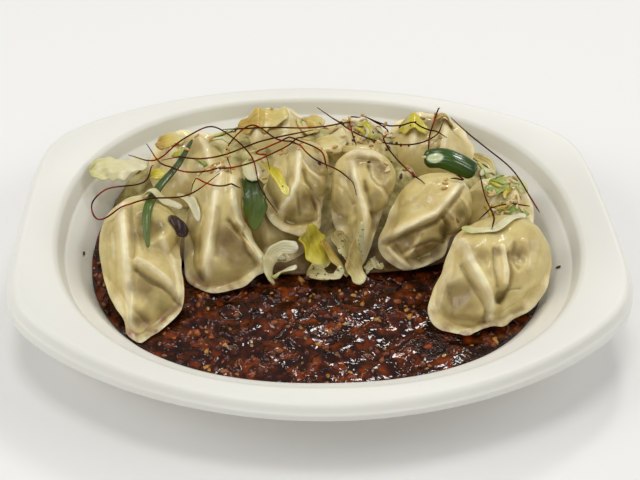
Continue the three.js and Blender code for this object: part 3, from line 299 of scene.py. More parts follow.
shallow, long_line, short_line, broken, gritty, grit, lumps, place = patches(
    sauce_oil, (5, 3), (10, 1.5), (4, 1.5), (9, 1), (8, 1), (1.7, 1), (3.8, 1.5)
)
froth = {"Vector": place, "Location": FROTH_MIDDLE, "Scale": FROTH_REACH}
froth = add_node(sauce_oil, "Mapping", froth, vector_type="TEXTURE")
froth = add_node(sauce_oil, "VectorMath", (froth,), "Value", operation="LENGTH")
froth = add_node(sauce_oil, "MapRange", (froth, 1.1, 0.5))
broken = add_node(sauce_oil, "MapRange", (broken, 0.42, 0.52))
gritty = add_node(sauce_oil, "MapRange", (gritty, 0.44, 0.6, 0.03, 0.25))
frothy = add_node(sauce_oil, "Math", (froth, 0.25), **MULTIPLY)
gritty = add_node(sauce_oil, "Math", (gritty, frothy), **ADD)
relief = crests(long_line, 0.03, 0.6, broken)
for more in (
    crests(short_line, 0.08, 0.7, froth),
    add_node(sauce_oil, "Math", (grit, gritty), **MULTIPLY),
    add_node(sauce_oil, "Math", (lumps, 0.24), **MULTIPLY),
):
    relief = add_node(sauce_oil, "Math", (relief, more), **ADD)
put_finish(sauce_oil, shader, add_node(sauce_oil, "ValToRGB", (shallow,), stops=OIL_STOPS), relief, 1)


def crumb_material(name, stops, roughness, coat):
    """A crumb: each one has its own tone."""
    material, shader = new_material(name, roughness, 1.45, 0.15, (1, 0.5, 0.3), 0.8, coat, 0.1)
    tone = add_node(material, "Attribute", (), "Fac", attribute_name="tone")
    put_finish(material, shader, add_node(material, "ValToRGB", (tone,), stops=stops))
    return material


# Fried garlic, chili flakes and chili seeds, all wet with oil. Toasted sesame: golden to light brown
# hulls, dry and faintly shiny.
garlic_stops = [(0, "#3c1508"), (0.5, "#6b2c0e"), (0.85, "#9a5218"), (1, "#c08a3a")]
flake_stops = [(0, "#200704"), (0.5, "#431008"), (0.85, "#7a240c"), (1, "#963a10")]
sesame_stops = [(0, "#9c7434"), (0.4, "#c8a25a"), (0.8, "#dcc083"), (1, "#e8d5a6")]
garlic = crumb_material("fried_garlic", garlic_stops, 0.3, 0.2)
flake = crumb_material("chili_flake", flake_stops, 0.35, 0.15)
oily_seed = crumb_material("chili_seed", [(0, "#6e4318"), (0.6, "#97692e"), (1, "#b98f4c")], 0.15, 0.2)
sesame = crumb_material("toasted_sesame", sesame_stops, 0.4, 0.1)
dark_seed = crumb_material("dark_sesame", [(0, "#2c2318"), (1, "#4f4028")], 0.4, 0.1)

# Dried chili cut into threads: dark red-brown and leathery, so hardly any light glances off it.
chili_thread, shader = new_material("dried_chili_thread", 0.7, 1.3)
shader.inputs["Specular IOR Level"].default_value = 0.15
along, _ = patches(chili_thread, (12, 1))
thread_stops = [(0.35, "#3a1008"), (0.54, "#4e1708"), (0.68, "#96260e")]
put_finish(chili_thread, shader, add_node(chili_thread, "ValToRGB", (along,), stops=thread_stops))
# A nearly black, smooth sheet in the gap beside the first dumpling: painted shade, standing in for the
# shadow in that gap.
gap_shade_sheet, shader = new_material("painted_gap_shade", 0.3, 1.45, coat=0.3)
put_finish(gap_shade_sheet, shader, "#2c0e0c")

RIBS = 5


def leaf_material(name, stops, vein=0.6, roughness=0.3, clear=0.25, freckles=None, end=None):
    """A boiled leaf: colours along its length, fine ribs along it, half clear and moist. The end that
    was cut has a colour of its own where one is given."""
    material, shader = new_material(name, roughness, 1.42, clear, (1, 0.9, 0.4), 1.5, 0.25, 0.12)
    surface = add_node(material, "TexCoord", output="UV")
    uneven, spots, _ = patches(material, (6, 3), (1.6, 1))
    uneven = add_node(material, "MapRange", (uneven, 0.2, 0.8, -0.3, 0.3))
    lengthwise = add_node(material, "SeparateXYZ", (surface,), "X")
    lengthwise = add_node(material, "Math", (lengthwise, uneven), **ADD)
    color = add_node(material, "ValToRGB", (lengthwise,), stops=stops)
    ribs = add_node(material, "SeparateXYZ", (surface,), "Y")
    ribs = add_node(material, "Math", (ribs, RIBS * TURN), **MULTIPLY)
    ribs = add_node(material, "Math", (ribs,), operation="SINE")
    crown = add_node(material, "MapRange", (ribs, 0.6, 1, 0, 0.25))
    color = add_node(material, "Mix", {0: crown, 6: color, 7: stops[-1][1]}, **RGB)
    if freckles:
        spots = add_node(material, "MapRange", (spots, 0.62, 0.68))
        color = add_node(material, "Mix", {0: spots, 6: color, 7: freckles}, **RGB)
    if end:
        away = {"Vector": surface, "Location": (0.22, 0.52, 0), "Scale": (0.19, 0.26, 1)}
        away = add_node(material, "Mapping", away, vector_type="TEXTURE")
        away = add_node(material, "VectorMath", (away,), "Value", operation="LENGTH")
        away = add_node(material, "MapRange", (away, 1, 0.75))
        color = add_node(material, "Mix", {0: away, 6: color, 7: end}, **RGB)
    put_finish(material, shader, color, ribs, 0.08 * vein)
    return material


# Napa cabbage, boiled: white ribs, pale green and yellow leaf.
cabbage_pale = leaf_material("boiled_cabbage_rib", [(0, "#c9bb83"), (0.5, "#dfd6a8"), (1, "#eee8c8")])
cabbage_cream = leaf_material("boiled_cabbage_heart", [(0, "#b0954c"), (0.45, "#d3c07a"), (1, "#e6dba4")])
yellow_stops = [(0, "#a1921c"), (0.4, "#d0be24"), (0.8, "#e0d24c"), (1, "#e8df8a")]
cabbage_yellow = leaf_material("boiled_cabbage_leaf", yellow_stops)
cabbage_green = leaf_material("boiled_cabbage_green", [(0, "#7d8f2c"), (0.45, "#b3b95a"), (1, "#dcd99a")])
clear_stops = [(0, "#bfbe74"), (0.3, "#dcd5a0"), (1, "#eae3c0")]
cabbage_clear = leaf_material("boiled_cabbage_thin", clear_stops, clear=0.45)
cabbage_orange = leaf_material("oiled_cabbage_leaf", [(0, "#a8822a"), (0.4, "#ccb050"), (1, "#e0d290")])
speckled_stops = [(0, "#a89450"), (0.5, "#cabf86"), (1, "#ded6ac")]
cabbage_speckled = leaf_material("sauced_cabbage", speckled_stops, freckles="#6d5226")
# The inside of the heap: darker than the loose shreds, as painted shade, and darker still at its
# foot, where it is wet with sauce and painted shade is added.
heap_core, shader = new_material("cabbage_heap_inside", 0.5, 1.42, 0.2, (1, 0.9, 0.4), 1.5)
tangle, crumple, place = patches(heap_core, (7, 4), (3, 3))
heap_stops = [(0.35, "#8a7d40"), (0.5, "#c2b574"), (0.65, "#ded3a0")]
upper = add_node(heap_core, "ValToRGB", (tangle,), stops=heap_stops)
height = add_node(heap_core, "SeparateXYZ", (place,), "Z")
# Darker towards the foot: sauce, and painted shade.
soaked_and_shaded = add_node(heap_core, "MapRange", (height, 18.5 * MM, 14 * MM))
soaked_and_shaded = add_node(heap_core, "Mix", {0: soaked_and_shaded, 6: upper, 7: "#6e4f26"}, **RGB)
put_finish(heap_core, shader, soaked_and_shaded, crumple, 0.8)
# Scallion tops: dark and waxy, streaked along, and pale inside where the tube is cut.
dark_stops = [(0, "#2a3a08"), (0.5, "#445a10"), (1, "#5f7020")]
tube_stops = [(0, "#2f4a10"), (0.5, "#3a5616"), (1, "#2a430f")]
scallion_dark = leaf_material("scallion_green", dark_stops, 0.35, 0.4, 0.05)
scallion_tube = leaf_material("scallion_ring", tube_stops, 1, 0.16, 0.05, end="#d5dcae")
scallion_light = leaf_material("scallion_light_green", [(0, "#75962c"), (1, "#a9bd55")], 1, 0.25, 0.15)


# The bowl.
def bowl_rings(sides):
    angles = TURN * np.arange(sides) / sides

    def ring(radius, height):
        x = radius * np.cos(angles)
        z = height(x) if callable(height) else np.full(sides, float(height))
        return np.stack([x, radius * np.sin(angles), z], axis=1)

    def oval(size, outwards, height):
        return ring(oval_radius(size[0] + outwards, size[1] + outwards, OVAL_POWER, angles), height)

    def crest_height(x):
        return CREST_HEIGHT + CREST_RISE * (x / RIM_HALF_LENGTH) ** 2

    def mouth_height(x):
        return MOUTH[2] + MOUTH_RISE * (x / RIM_HALF_LENGTH) ** 2

    def lip_height(share):
        return lambda x: LIP_BOTTOM + share * (crest_height(x) - LIP_BOTTOM)

    crest = ring(crest_radius(angles), crest_height)
    heading = np.roll(crest, -1, axis=0) - np.roll(crest, 1, axis=0)
    outwards = np.stack([heading[:, 1], -heading[:, 0]], axis=1)
    outwards /= np.linalg.norm(outwards, axis=1)[:, None]

    def flared(distance, height):
        points = crest.copy()
        points[:, :2] += distance * outwards
        points[:, 2] = height(points[:, 0])
        return points

    return [
        oval(FLOOR, WALL, 0),
        oval(FILLET, WALL, 2.2),
        oval(WELL, WALL, 10.5),
        oval(WELL_TOP, WALL, WELL_TOP[2] - 1.3),
        oval(LEDGE, WALL, LEDGE[2] - 1.5),
        oval(MOUTH, WALL, MOUTH[2] - 2),
        flared(-1.5, lambda x: crest_height(x) - 1.6),
        flared(LIP_FLARE - WALL, lambda x: np.full(sides, LIP_BOTTOM)),
        flared(LIP_FLARE, lambda x: np.full(sides, LIP_BOTTOM)),
        flared(4.2, lip_height(0.5)),
        flared(3.2, lip_height(0.57)),
        flared(1.6, lip_height(0.88)),
        crest,
        oval(MOUTH, 1, lambda x: mouth_height(x) + 0.1),
        oval(MOUTH, -0.6, lambda x: mouth_height(x) - 1.4),
        oval(LEDGE, 0, LEDGE[2]),
        oval(LEDGE, -1.2, LEDGE[2] - 0.6),
        oval(WELL_TOP, 0.6, WELL_TOP[2] + 0.3),
        oval(WELL_TOP, -0.6, WELL_TOP[2] - 1),
        oval(WELL, 0, WELL[2]),
        oval(FILLET, 0, FILLET[2]),
        oval(FLOOR, 0, FLOOR[2]),
    ]


def rounded_corners(rings, reach):
    """More rings, so that each corner of the profile becomes a small round of that reach."""
    rounded = [rings[0]]
    for before, corner, after in zip(rings, rings[1:], rings[2:]):
        back = before - corner
        on = after - corner
        back_length = np.linalg.norm(back, axis=1)[:, None]
        on_length = np.linalg.norm(on, axis=1)[:, None]
        start = corner + back * np.minimum(0.4, reach / back_length)
        end = corner + on * np.minimum(0.4, reach / on_length)
        for share in (0, 0.33, 0.67, 1):
            rounded.append((1 - share) ** 2 * start + 2 * share * (1 - share) * corner + share**2 * end)
    return rounded + [rings[-1]]


BOWL_SIDES = 288
shell = rounded_corners(bowl_rings(BOWL_SIDES), 0.9)
bowl = on_rings("oval_bowl", shell, (0, 0, 0), (0, 0, FLOOR[2]))
finish_piece(bowl, bowl_plastic, ["bowl"])

# Each dumpling in its own plane, which holds the sealed edge: x across it, y from the seal up to the
# belly's far end, z out of the side that shows. The plane is turned, leans back, is headed about the
# upright and is set at the middle. Ridges are folds and creases are the lines beside them: a path, a
# height or depth and a half width. Hollows lie between (x, y, radius, depth), and the filling shows
# through where the dough is stretched thin (x, y, radius, how strongly).
def through(*points):
    """An edge through points, as a share of a turn and a radius each."""
    return np.array(sorted(((math.atan2(y, x) / TURN) % 1, math.hypot(x, y)) for x, y in points))


def evenly(*radii):
    return np.array([(index / len(radii), radius) for index, radius in enumerate(radii)])


DUMPLINGS = [
    dict(
        middle=(-77.5, -18, 27.5), lean=28, heading=6, thickness=25, seal=-65,
        edge=through((16, 3), (17, 11), (14, 19), (9.5, 25), (4, 28.5), (-3, 28.8), (-10, 26), (-16, 21),
            (-19.5, 13), (-20.5, 5), (-19.5, -4), (-18.5, -11), (-16.5, -18), (-13, -25), (-10.6, -31),
            (-10.8, -37), (-8.5, -41), (-4.5, -43.5), (0.5, -39), (6, -34.5), (11, -30), (14.5, -25),
            (16.5, -17), (16, -6)),
        ridges=[([(-9, 23), (-8, 8), (-8, -8), (-8, -24), (-8, -38)], 3.4, 3.6),
            ([(8, 3), (12, -5), (13, -13), (14, -20)], 2.6, 3.2),
            ([(-3, -6), (4, -11), (9, -15), (13, -20)], 2.6, 3)],
        creases=[([(-4, -9.5), (2, -14.5), (7, -17.5), (11, -21), (14, -24.5)], 1.5, 0.9),
            ([(-5, 21), (-5, 12), (-4.5, 3), (-5, -4)], 1.1, 1.1),
            ([(-13, 15), (-12.5, 2), (-13, -12)], 0.5, 0.9),
            ([(-17, 12), (-16.5, 0), (-16.5, -10)], 0.5, 0.9),
            ([(-5.5, -27), (-3.5, -28.5), (-1, -31.5)], 0.9, 0.8),
            ([(-6, -39), (1, -34.5), (8, -28.5), (13, -23)], 0.8, 1)],
        hollows=[(2, 9, 6, 2.6), (-2, -17, 6, 2.2), (6, -26, 5, 1.4), (-3, -31, 3.4, 2.2)],
        filling=[(-2, 6, 4.5, 0.9), (7, 10, 4, 0.85), (6, -2, 4.5, 0.45), (-3, -17, 5.5, 0.8),
            (3, -25, 5, 0.35), (-5, -31, 3, 1), (-16, 10, 5, 0.4), (-15.5, 0, 4, 0.35), (16, 5, 2.5, 0.8),
            (-1, 16, 3.5, 0.5)],
    ),
    dict(
        middle=(-43, -4, 30.5), lean=38, heading=-4, thickness=26, seal=-85,
        edge=through((11.5, 0), (8.5, 4), (7.2, 9), (7, 15), (6.5, 21), (4.8, 27), (0.5, 30.8), (-6, 30),
            (-12, 26.5), (-16, 21), (-17.3, 14), (-17.8, 7), (-18.6, 0), (-18.8, -8), (-18.3, -16),
            (-16.5, -23), (-12.5, -28), (-7, -30.3), (-1, -30.4), (5, -29), (10.5, -26), (15, -21.5),
            (20, -17), (19.5, -13), (15.5, -8), (13, -4)),
        ridges=[([(-3, 27), (-4, 14), (-5.5, 0), (-6, -12), (-7, -22)], 3.8, 4),
            ([(3, 22), (4, 11), (7, 3), (11, -4), (14, -9.5), (18, -15)], 3.4, 2.8),
            ([(-14, 14), (-15.5, 2), (-15.5, -12)], 1, 2.8)],
        creases=[([(2.5, 1.5), (6, -2), (9, -6), (10.5, -11), (14.5, -15)], 1.3, 0.9),
            ([(-2.5, 6), (-2.5, -4), (-3, -14)], 0.8, 1), ([(-9.5, 5), (-10.5, -6), (-10.5, -17)], 0.8, 1),
            ([(-15, -21), (-9, -26), (0, -25.5), (8, -21.5), (16, -16)], 0.7, 1.1),
            ([(-13, 23), (-8, 15), (-7, 8)], 0.6, 0.8)],
        hollows=[(2, -8, 6.5, 3.2), (-9.5, -23, 2.6, 1.8), (-13, -9, 4, 1.4), (7, -15, 5, 1.4)],
        filling=[(0.5, -8, 4.5, 1), (5, -12, 5.5, 0.8), (3, -2.5, 3, 0.8), (-14, -8, 3.5, 0.55),
            (-14, -1, 3.5, 0.5), (-9.5, -22.5, 2.6, 0.9), (8, -18, 4, 0.5), (-12, 15, 4.5, 0.45),
            (-2, -17, 4, 0.25), (-4, 24, 3, 0.3)],
    ),
    dict(
        middle=(-9, 11, 38.5), lean=33, heading=0, thickness=24, seal=-95,
        edge=through((12.8, 0), (14.3, 6), (15.2, 12), (13.5, 18), (10, 22.5), (5, 25.3), (0, 26), (-5, 24),
            (-9.5, 19.5), (-13, 13), (-15.5, 6), (-17, 0), (-17.3, -6), (-15.5, -11.5), (-12, -16.5),
            (-6, -19.2), (0, -20.7), (5, -19.8), (9.3, -16.5), (10.3, -12), (10, -8), (11.5, -4)),
        ridges=[([(-1, 16), (-1.5, 8), (-2, 1), (-5, -5), (-9, -10)], 3.6, 2.8),
            ([(1, 13), (4.5, 6.5), (9, 3), (13, 3)], 2, 2.4), ([(6.5, -1), (8.5, -6), (8.5, -13)], 2, 2.2),
            ([(-12, 13), (-9, 4), (-8, -4)], 1.2, 2.4)],
        creases=[([(1, 7), (2, 2), (5, -1), (9, -3.5)], 1.2, 0.8),
            ([(1.5, 13), (5, 8), (8, 6), (13, 7)], 1, 0.8), ([(-2, -4), (-1.5, -8), (-0.5, -12)], 0.9, 0.8),
            ([(-7, -10.5), (-7, -13.5), (-2, -14.5), (4, -14), (9, -11.5)], 0.9, 0.9),
            ([(-6, 15), (-5.5, 6), (-7, -2)], 0.8, 0.9), ([(-15, -8), (-12, -11), (-9, -13)], 0.6, 0.8)],
        hollows=[(3, -7, 4.2, 2.8), (-4.5, -12, 2.6, 2.2), (-12, -5, 3, 1.2), (8, 10.5, 4, 1.6)],
        filling=[(3, -6, 4.5, 0.8), (-5, -12, 2.5, 1), (-12, -6, 3.5, 0.55), (8, 11, 5, 0.9),
            (7, 1.5, 3, 0.5), (-6, 5, 2.5, 0.6), (4, 12, 3, 0.5), (-3, 18, 4, 0.4), (12, -4, 2, 0.7),
            (3, -11, 3, 0.5)],
    ),
    dict(
        middle=(20, 4, 34.5), lean=47, heading=-4, thickness=24, seal=-90,
        edge=through((10, 0.5), (13, 5), (14.6, 10), (14.6, 16), (12, 21), (8, 25), (2, 27.8), (-4, 27.5),
            (-10, 25), (-14.5, 20), (-17, 13), (-17.2, 6), (-16, -1), (-14.5, -7), (-12, -12), (-8, -15.5),
            (-6.3, -20), (-4.2, -25), (-0.8, -28), (2, -25), (4.3, -19), (6.3, -13), (7.8, -6)),
        ridges=[([(-7, 21), (-6, 14), (-3, 6), (-0.5, -1), (1, -10), (0, -24)], 3.8, 3),
            ([(-8, 25.5), (6, 25.5)], 2.8, 2.6), ([(2, 16), (6, 9.5), (12, 4)], 1.8, 2.4),
            ([(-13, 14), (-11, 4), (-10, -6)], 1, 2.8)],
        creases=[([(0.5, 19), (2.5, 14), (5, 11), (9, 8.5), (13, 6)], 1.4, 0.8),
            ([(-1, 12), (1, 5), (3.5, -3), (5.5, -11)], 0.9, 0.9),
            ([(-8, 20), (-7.5, 12), (-5, 3), (-3.5, -6), (-3.5, -14)], 0.9, 0.9),
            ([(-9, 22), (-2, 22.3), (5, 22)], 1.1, 0.8), ([(-15, 12), (-10, 8), (-5.5, 2)], 0.6, 0.7)],
        hollows=[(6, 18, 4.5, 2.4), (-11, 1, 5, 1.6), (5, 2, 4.5, 1.6), (-1, 8.5, 2.4, 1)],
        filling=[(7, 17.5, 4.5, 0.95), (-11, 3, 5, 0.65), (-12, -6, 4, 0.7), (5, 4, 5, 0.5),
            (-3, 22, 4, 0.8), (3, 22, 3, 0.7), (6, -8, 3, 0.7), (-10, 14, 4, 0.45), (10, 11, 3.5, 0.6)],
    ),
    dict(
        middle=(50, -2, 32), lean=45, heading=4, turn=22, thickness=26, seal=-150,
        edge=through((22.5, 0), (23.4, 6), (22, 11), (19, 15.5), (13, 18.8), (8, 20.5), (2, 21), (-4, 19.5),
            (-10, 16.8), (-16, 13), (-21.5, 8.5), (-25.5, 4.5), (-27, 0.5), (-26.5, -5), (-24, -11),
            (-20.5, -15.5), (-15, -17.2), (-8, -17.5), (-2, -17), (2, -14), (6, -11), (12, -9.5),
            (17, -7.8), (20.3, -4.5)),
        ridges=[([(-25, 2.5), (-16, 3), (-8, 3.4), (0, 3.4), (8, 6.4), (16, 9.5), (21, 10)], 4.6, 3),
            ([(-23, -3), (-21, -9), (-18.5, -15)], 2.6, 2.2), ([(-9, -2), (-13, -6.5), (-17, -9)], 1.8, 2),
            ([(6.5, 2), (8.5, -3), (8, -7)], 1.6, 1.9), ([(16, 4), (18, -3)], 1.2, 2)],
        creases=[([(-24, 0.5), (-18, -0.8), (-10, 0.2), (-1, -0.3), (4, 1.5), (10, 4.5), (20, 8)], 1.8, 1),
            ([(-18, -7), (-11, -7.2), (-5, -8), (1, -10.5)], 1.2, 0.8),
            ([(3.5, 0), (4.3, -4), (2.5, -9)], 1.4, 0.9), ([(-13.5, -9), (-12, -15.5)], 0.6, 0.7),
            ([(-8.5, -9), (-6, -15.5)], 0.6, 0.7), ([(-19.5, -3), (-18, -9), (-16.5, -15)], 1, 0.8),
            ([(-10, 12), (0, 13.5), (10, 16)], 0.5, 0.9)],
        hollows=[(-15, -2.5, 4, 3), (-9, -11, 5.5, 2), (2.5, -6, 3, 2.4), (12.5, -3.5, 4, 2.4),
            (-3, -4, 4, 1)],
        filling=[(-14, -2, 3.6, 1), (-9.5, -1.5, 2.2, 0.8), (-19, -4, 2.5, 0.9), (-12, -11.5, 4.5, 0.9),
            (-5, -12.5, 4, 0.9), (3, -6, 3, 1), (12, -3, 4.5, 0.95), (15, -6.5, 3, 1), (8, -1, 3, 0.7),
            (19.5, -1.5, 3, 0.5), (-3, -4.5, 3.5, 0.45), (-24, -10, 2.6, 0.75), (1, 10, 2, 0.35)],
    ),
    dict(
        middle=(73, -33, 26.5), lean=36, heading=4, thickness=27, seal=-80,
        edge=through((28, 0), (29.3, 8), (28, 16), (24.5, 22), (19, 26), (12, 28), (5, 28), (-2, 26.3),
            (-9, 23.5), (-13.5, 20), (-16, 16), (-18, 12), (-20.5, 6.5), (-23, 1.5), (-26, -4), (-28.5, -9),
            (-29, -14), (-27, -19), (-22.5, -23), (-17, -25.6), (-13, -26), (-10, -24), (-6, -22.3),
            (-1.5, -21.8), (3, -22), (8, -19.3), (15, -15.8), (20.5, -12), (24.5, -7.5)),
        ridges=[([(-13.5, 17), (-11.5, 8), (-8.5, -1), (-5.5, -9), (-3, -17)], 3.6, 3.6),
            ([(-17, 14), (-20, 4), (-24, -5), (-26, -12)], 2.2, 2.8),
            ([(2.5, 12), (3, 4), (2.5, -4)], 2.6, 2.6), ([(14, 14), (14, 2)], 1.2, 3),
            ([(16, -4), (9, -10), (3, -16)], 1.2, 3)],
        creases=[([(-14.5, 5), (-12, -2), (-9, -8), (-6.5, -14), (-5, -19)], 1.5, 0.9),
            ([(5.6, 9), (5.5, 0), (4.5, -5), (2.5, -8.5), (0.5, -11.5)], 1.5, 0.9),
            ([(-25, -10), (-21.5, -16), (-12, -18.5), (-4, -19), (4, -17.5), (12, -14)], 0.9, 1.1),
            ([(4.5, -6.8), (9.5, -6.5)], 0.8, 0.6), ([(-0.5, 11), (-1.5, 3), (-1, -5)], 0.8, 0.9),
            ([(9, 13), (7, 7), (9, 2)], 0.7, 0.9), ([(-22, 1), (-19, -8), (-20, -15)], 0.6, 0.9)],
        hollows=[(-17, -7, 6, 2.8), (0.3, -9.5, 2.8, 2.6), (-6, 7, 4, 1.4), (10.5, 8, 4, 1.8),
            (3, 21, 4, 1.4)],
        filling=[(-18, -5, 6, 0.75), (-14, -13, 5, 0.7), (-20, -12, 4, 0.6), (0.3, -10, 2.8, 1),
            (-6, 8, 4.5, 0.55), (-10, 12, 3.5, 0.5), (0, 10, 2.4, 0.85), (11, 8, 4, 0.65), (3, 20, 4, 0.65),
            (17, 13, 4, 0.4), (-27, -13, 2.5, 0.5), (-4, 2, 3.5, 0.3)],
    ),
    dict(
        middle=(-60, 40, 29), lean=12, heading=14, thickness=25, seal=95,
        edge=evenly(21, 22, 24, 25, 24, 22, 21, 21, 23, 23, 22, 21),
        ridges=[([(-9, 16), (-7, -14)], 2.6, 3.6), ([(6, 18), (8, -12)], 2.6, 3.6)],
        hollows=[(0, 4, 5, 1.4)],
        filling=[(0, 4, 6, 0.7), (13, 6, 4, 0.5), (-14, 4, 4, 0.5), (1, -9, 5, 0.5)],
    ),
    dict(
        middle=(-19, 61, 32.5), lean=6, heading=-4, thickness=25, seal=85,
        edge=evenly(23, 22, 21, 21, 21, 22, 23, 22, 21, 20, 21, 22),
        ridges=[([(-10, 14), (-9, -12)], 2.6, 3.6), ([(4, 16), (5, -12)], 2.6, 3.6),
            ([(15, 12), (14, -8)], 2, 3.2)],
        filling=[(-3, 4, 5, 0.6), (10, 5, 4, 0.6), (-15, 5, 4, 0.5), (-3, -8, 5, 0.5)],
    ),
    dict(
        middle=(56, 52, 33.5), lean=10, heading=-12, thickness=25, seal=88,
        edge=evenly(23, 22, 22, 23, 23, 23, 23, 22, 21, 21, 21, 22),
        ridges=[([(-9, 15), (-8, -12)], 2.6, 3.6), ([(6, 17), (7, -12)], 2.6, 3.6)],
        hollows=[(-1, 2, 5, 1.4)],
        filling=[(-1, 3, 6, 0.7), (13, 4, 4, 0.5), (-15, 2, 4, 0.5), (0, -9, 5, 0.5)],
    ),
    dict(
        middle=(84, 10, 26), lean=16, heading=-20, thickness=23, seal=60,
        edge=evenly(17, 18, 20, 22, 21, 19, 18, 18, 20, 22, 20, 18),
        ridges=[([(-5, 14), (-5, -14)], 2.2, 3.4), ([(7, 12), (7, -12)], 2.2, 3.4)],
        filling=[(1, 3, 5, 0.6), (-11, 2, 4, 0.5), (12, 0, 4, 0.5)],
    ),
    dict(
        middle=(-21, 10, 21), lean=18, heading=10, thickness=18, seal=-80,
        edge=evenly(20, 20, 21, 22, 21, 20, 20, 20, 21, 22, 21, 20),
        ridges=[([(-6, 10), (-6, -16)], 1.6, 3.4)],
        filling=[(0, 0, 8, 0.6), (-12, 0, 5, 0.6), (8, -10, 6, 0.6)],
    ),
    dict(
        middle=(20, 53, 33), lean=12, heading=4, thickness=24, seal=80,
        edge=evenly(22, 21, 19, 18, 19, 21, 22, 21, 18, 17, 18, 21),
        ridges=[([(-7, 11), (-6, -10)], 2.2, 3.4), ([(5, 12), (6, -9)], 2.2, 3.4)],
        filling=[(-1, 2, 5, 0.7), (11, 3, 4, 0.5), (-13, 3, 4, 0.5)],
    ),
]
SKIRT_WIDTH = 6
SKIRT_HALF_THICKNESS = 1.0
BELLY_CURL = 2.5
# How narrow the crest of a ridge is, from which height the dough is double, and how strongly the
# depths and widths in the table are taken.
RIDGE_CREST = 1.7
FULL_RIDGE = 3
HOLLOW_DEPTH = 1.55
CREASE_DEPTH = 1.5
CREASE_WIDTH = 1.2
# Dumplings that come closer than this, or overlap, get a flat contact.
NEAR = 4
TEST_DIRECTIONS = 160


def edge_radius(edge, angle):
    """Radius of an edge at an angle, on a smooth closed curve."""
    places, radii = np.concatenate([edge - (1, 0), edge, edge + (1, 0)]).T
    place = np.mod(angle / TURN, 1)
    above = np.searchsorted(places, place, side="right")
    before, low, high, after = (places[above + step] for step in (-2, -1, 0, 1))
    r_before, r_low, r_high, r_after = (radii[above + step] for step in (-2, -1, 0, 1))
    span = high - low
    t = (place - low) / span
    rise = r_high - r_low
    start = span * (r_high - r_before) / (high - before)
    end = span * (r_after - r_low) / (after - low)
    return r_low + start * t + (3 * rise - 2 * start - end) * t**2 + (start + end - 2 * rise) * t**3


def distance_to_path(x, y, path):
    nearest = np.full(len(x), np.inf)
    for (x0, y0), (x1, y1) in zip(path, path[1:]):
        length2 = (x1 - x0) ** 2 + (y1 - y0) ** 2
        share = np.clip(((x - x0) * (x1 - x0) + (y - y0) * (y1 - y0)) / length2, 0, 1)
        nearest = np.minimum(nearest, np.hypot(x - x0 - share * (x1 - x0), y - y0 - share * (y1 - y0)))
    return nearest


def turned(points, axis, degrees):
    """Points turned about the x (0) or z (2) axis."""
    first, second = (1, 2) if axis == 0 else (0, 1)
    cos, sin = math.cos(math.radians(degrees)), math.sin(math.radians(degrees))
    result = points.copy()
    result[:, first] = cos * points[:, first] - sin * points[:, second]
    result[:, second] = sin * points[:, first] + cos * points[:, second]
    return result


def dumpling_points(dumpling, directions, folded):
    """Points of a dumpling for directions of a ball whose equator is the sealed edge, how thick the
    dough is there, how much of the filling shows, with painted shade added in the deep hollows, and
    how much shade is painted along its creases, all from 0 to 1."""
    angle = np.arctan2(directions[:, 1], directions[:, 0])
    reach = np.minimum(1, np.hypot(directions[:, 0], directions[:, 1]))
    radius = edge_radius(dumpling["edge"], angle)
    x = reach * radius * np.cos(angle)
    y = reach * radius * np.sin(angle)
    near_seal = smooth_between(np.cos(angle - math.radians(dumpling["seal"])), -0.3, 0.6)
    belly_reach = np.minimum(1, reach / (1 - near_seal * SKIRT_WIDTH / radius))
    belly = 0.5 * dumpling["thickness"] * (1 - belly_reach**2.4) ** 0.6
    edge = np.sqrt(np.maximum(0, 1 - reach**12))
    height = np.hypot(belly, SKIRT_HALF_THICKNESS) * edge * np.sign(directions[:, 2])
    dough_thickness = near_seal * smooth_between(reach, 1 - SKIRT_WIDTH / radius, 1)
    filling = np.zeros(len(x))
    crease_shade = np.zeros(len(x))
    if folded:
        shows = directions[:, 2] > 0
        fold = np.zeros(len(x))
        for path, ridge, half_width in dumpling["ridges"]:
            away = distance_to_path(x, y, path) / half_width
            share = 0.5 * np.exp(-(away**2)) + 0.5 * np.exp(-((RIDGE_CREST * away) ** 4))
            fold += ridge * share
            doubled = shows * share * min(1, ridge / FULL_RIDGE)
            dough_thickness = np.maximum(dough_thickness, doubled)
        for at_x, at_y, width, depth in dumpling.get("hollows", ()):
            fold -= HOLLOW_DEPTH * depth * np.exp(-((x - at_x) ** 2 + (y - at_y) ** 2) / width**2)
        for path, depth, half_width in dumpling.get("creases", ()):
            away = distance_to_path(x, y, path) / (CREASE_WIDTH * half_width)
            line = np.exp(-np.abs(away) ** 1.7)
            fold -= CREASE_DEPTH * depth * line
            # Painted shade along each crease line.
            crease_shade = np.maximum(crease_shade, shows * line * min(1, 0.65 * depth))
        for at_x, at_y, width, strength in dumpling["filling"]:
            spot = strength * np.exp(-((((x - at_x) ** 2 + (y - at_y) ** 2) / width**2) ** 1.5))
            filling = np.maximum(filling, shows * spot)
        # Partly the filling seen through thin dough, partly painted shade: the deeper the hollow, the darker.
        filling = np.maximum(filling, shows * 0.85 * np.clip((-fold - 0.2) / 2.4, 0, 1))
        height += np.where(shows, fold * (1 - reach**6), 0)
        height += near_seal * reach**4 * np.sin(angle * 11 + dumpling["middle"][0])
    height -= BELLY_CURL * (x / radius) ** 2
    points = np.stack([x, y, height], axis=1)
    points = turned(turned(points, 2, dumpling.get("turn", 0)), 0, dumpling["lean"])
    points = turned(points, 2, dumpling["heading"]) + np.array(dumpling["middle"])
    return keep_in_bowl(points), np.clip(dough_thickness, 0, 1), filling, crease_shade


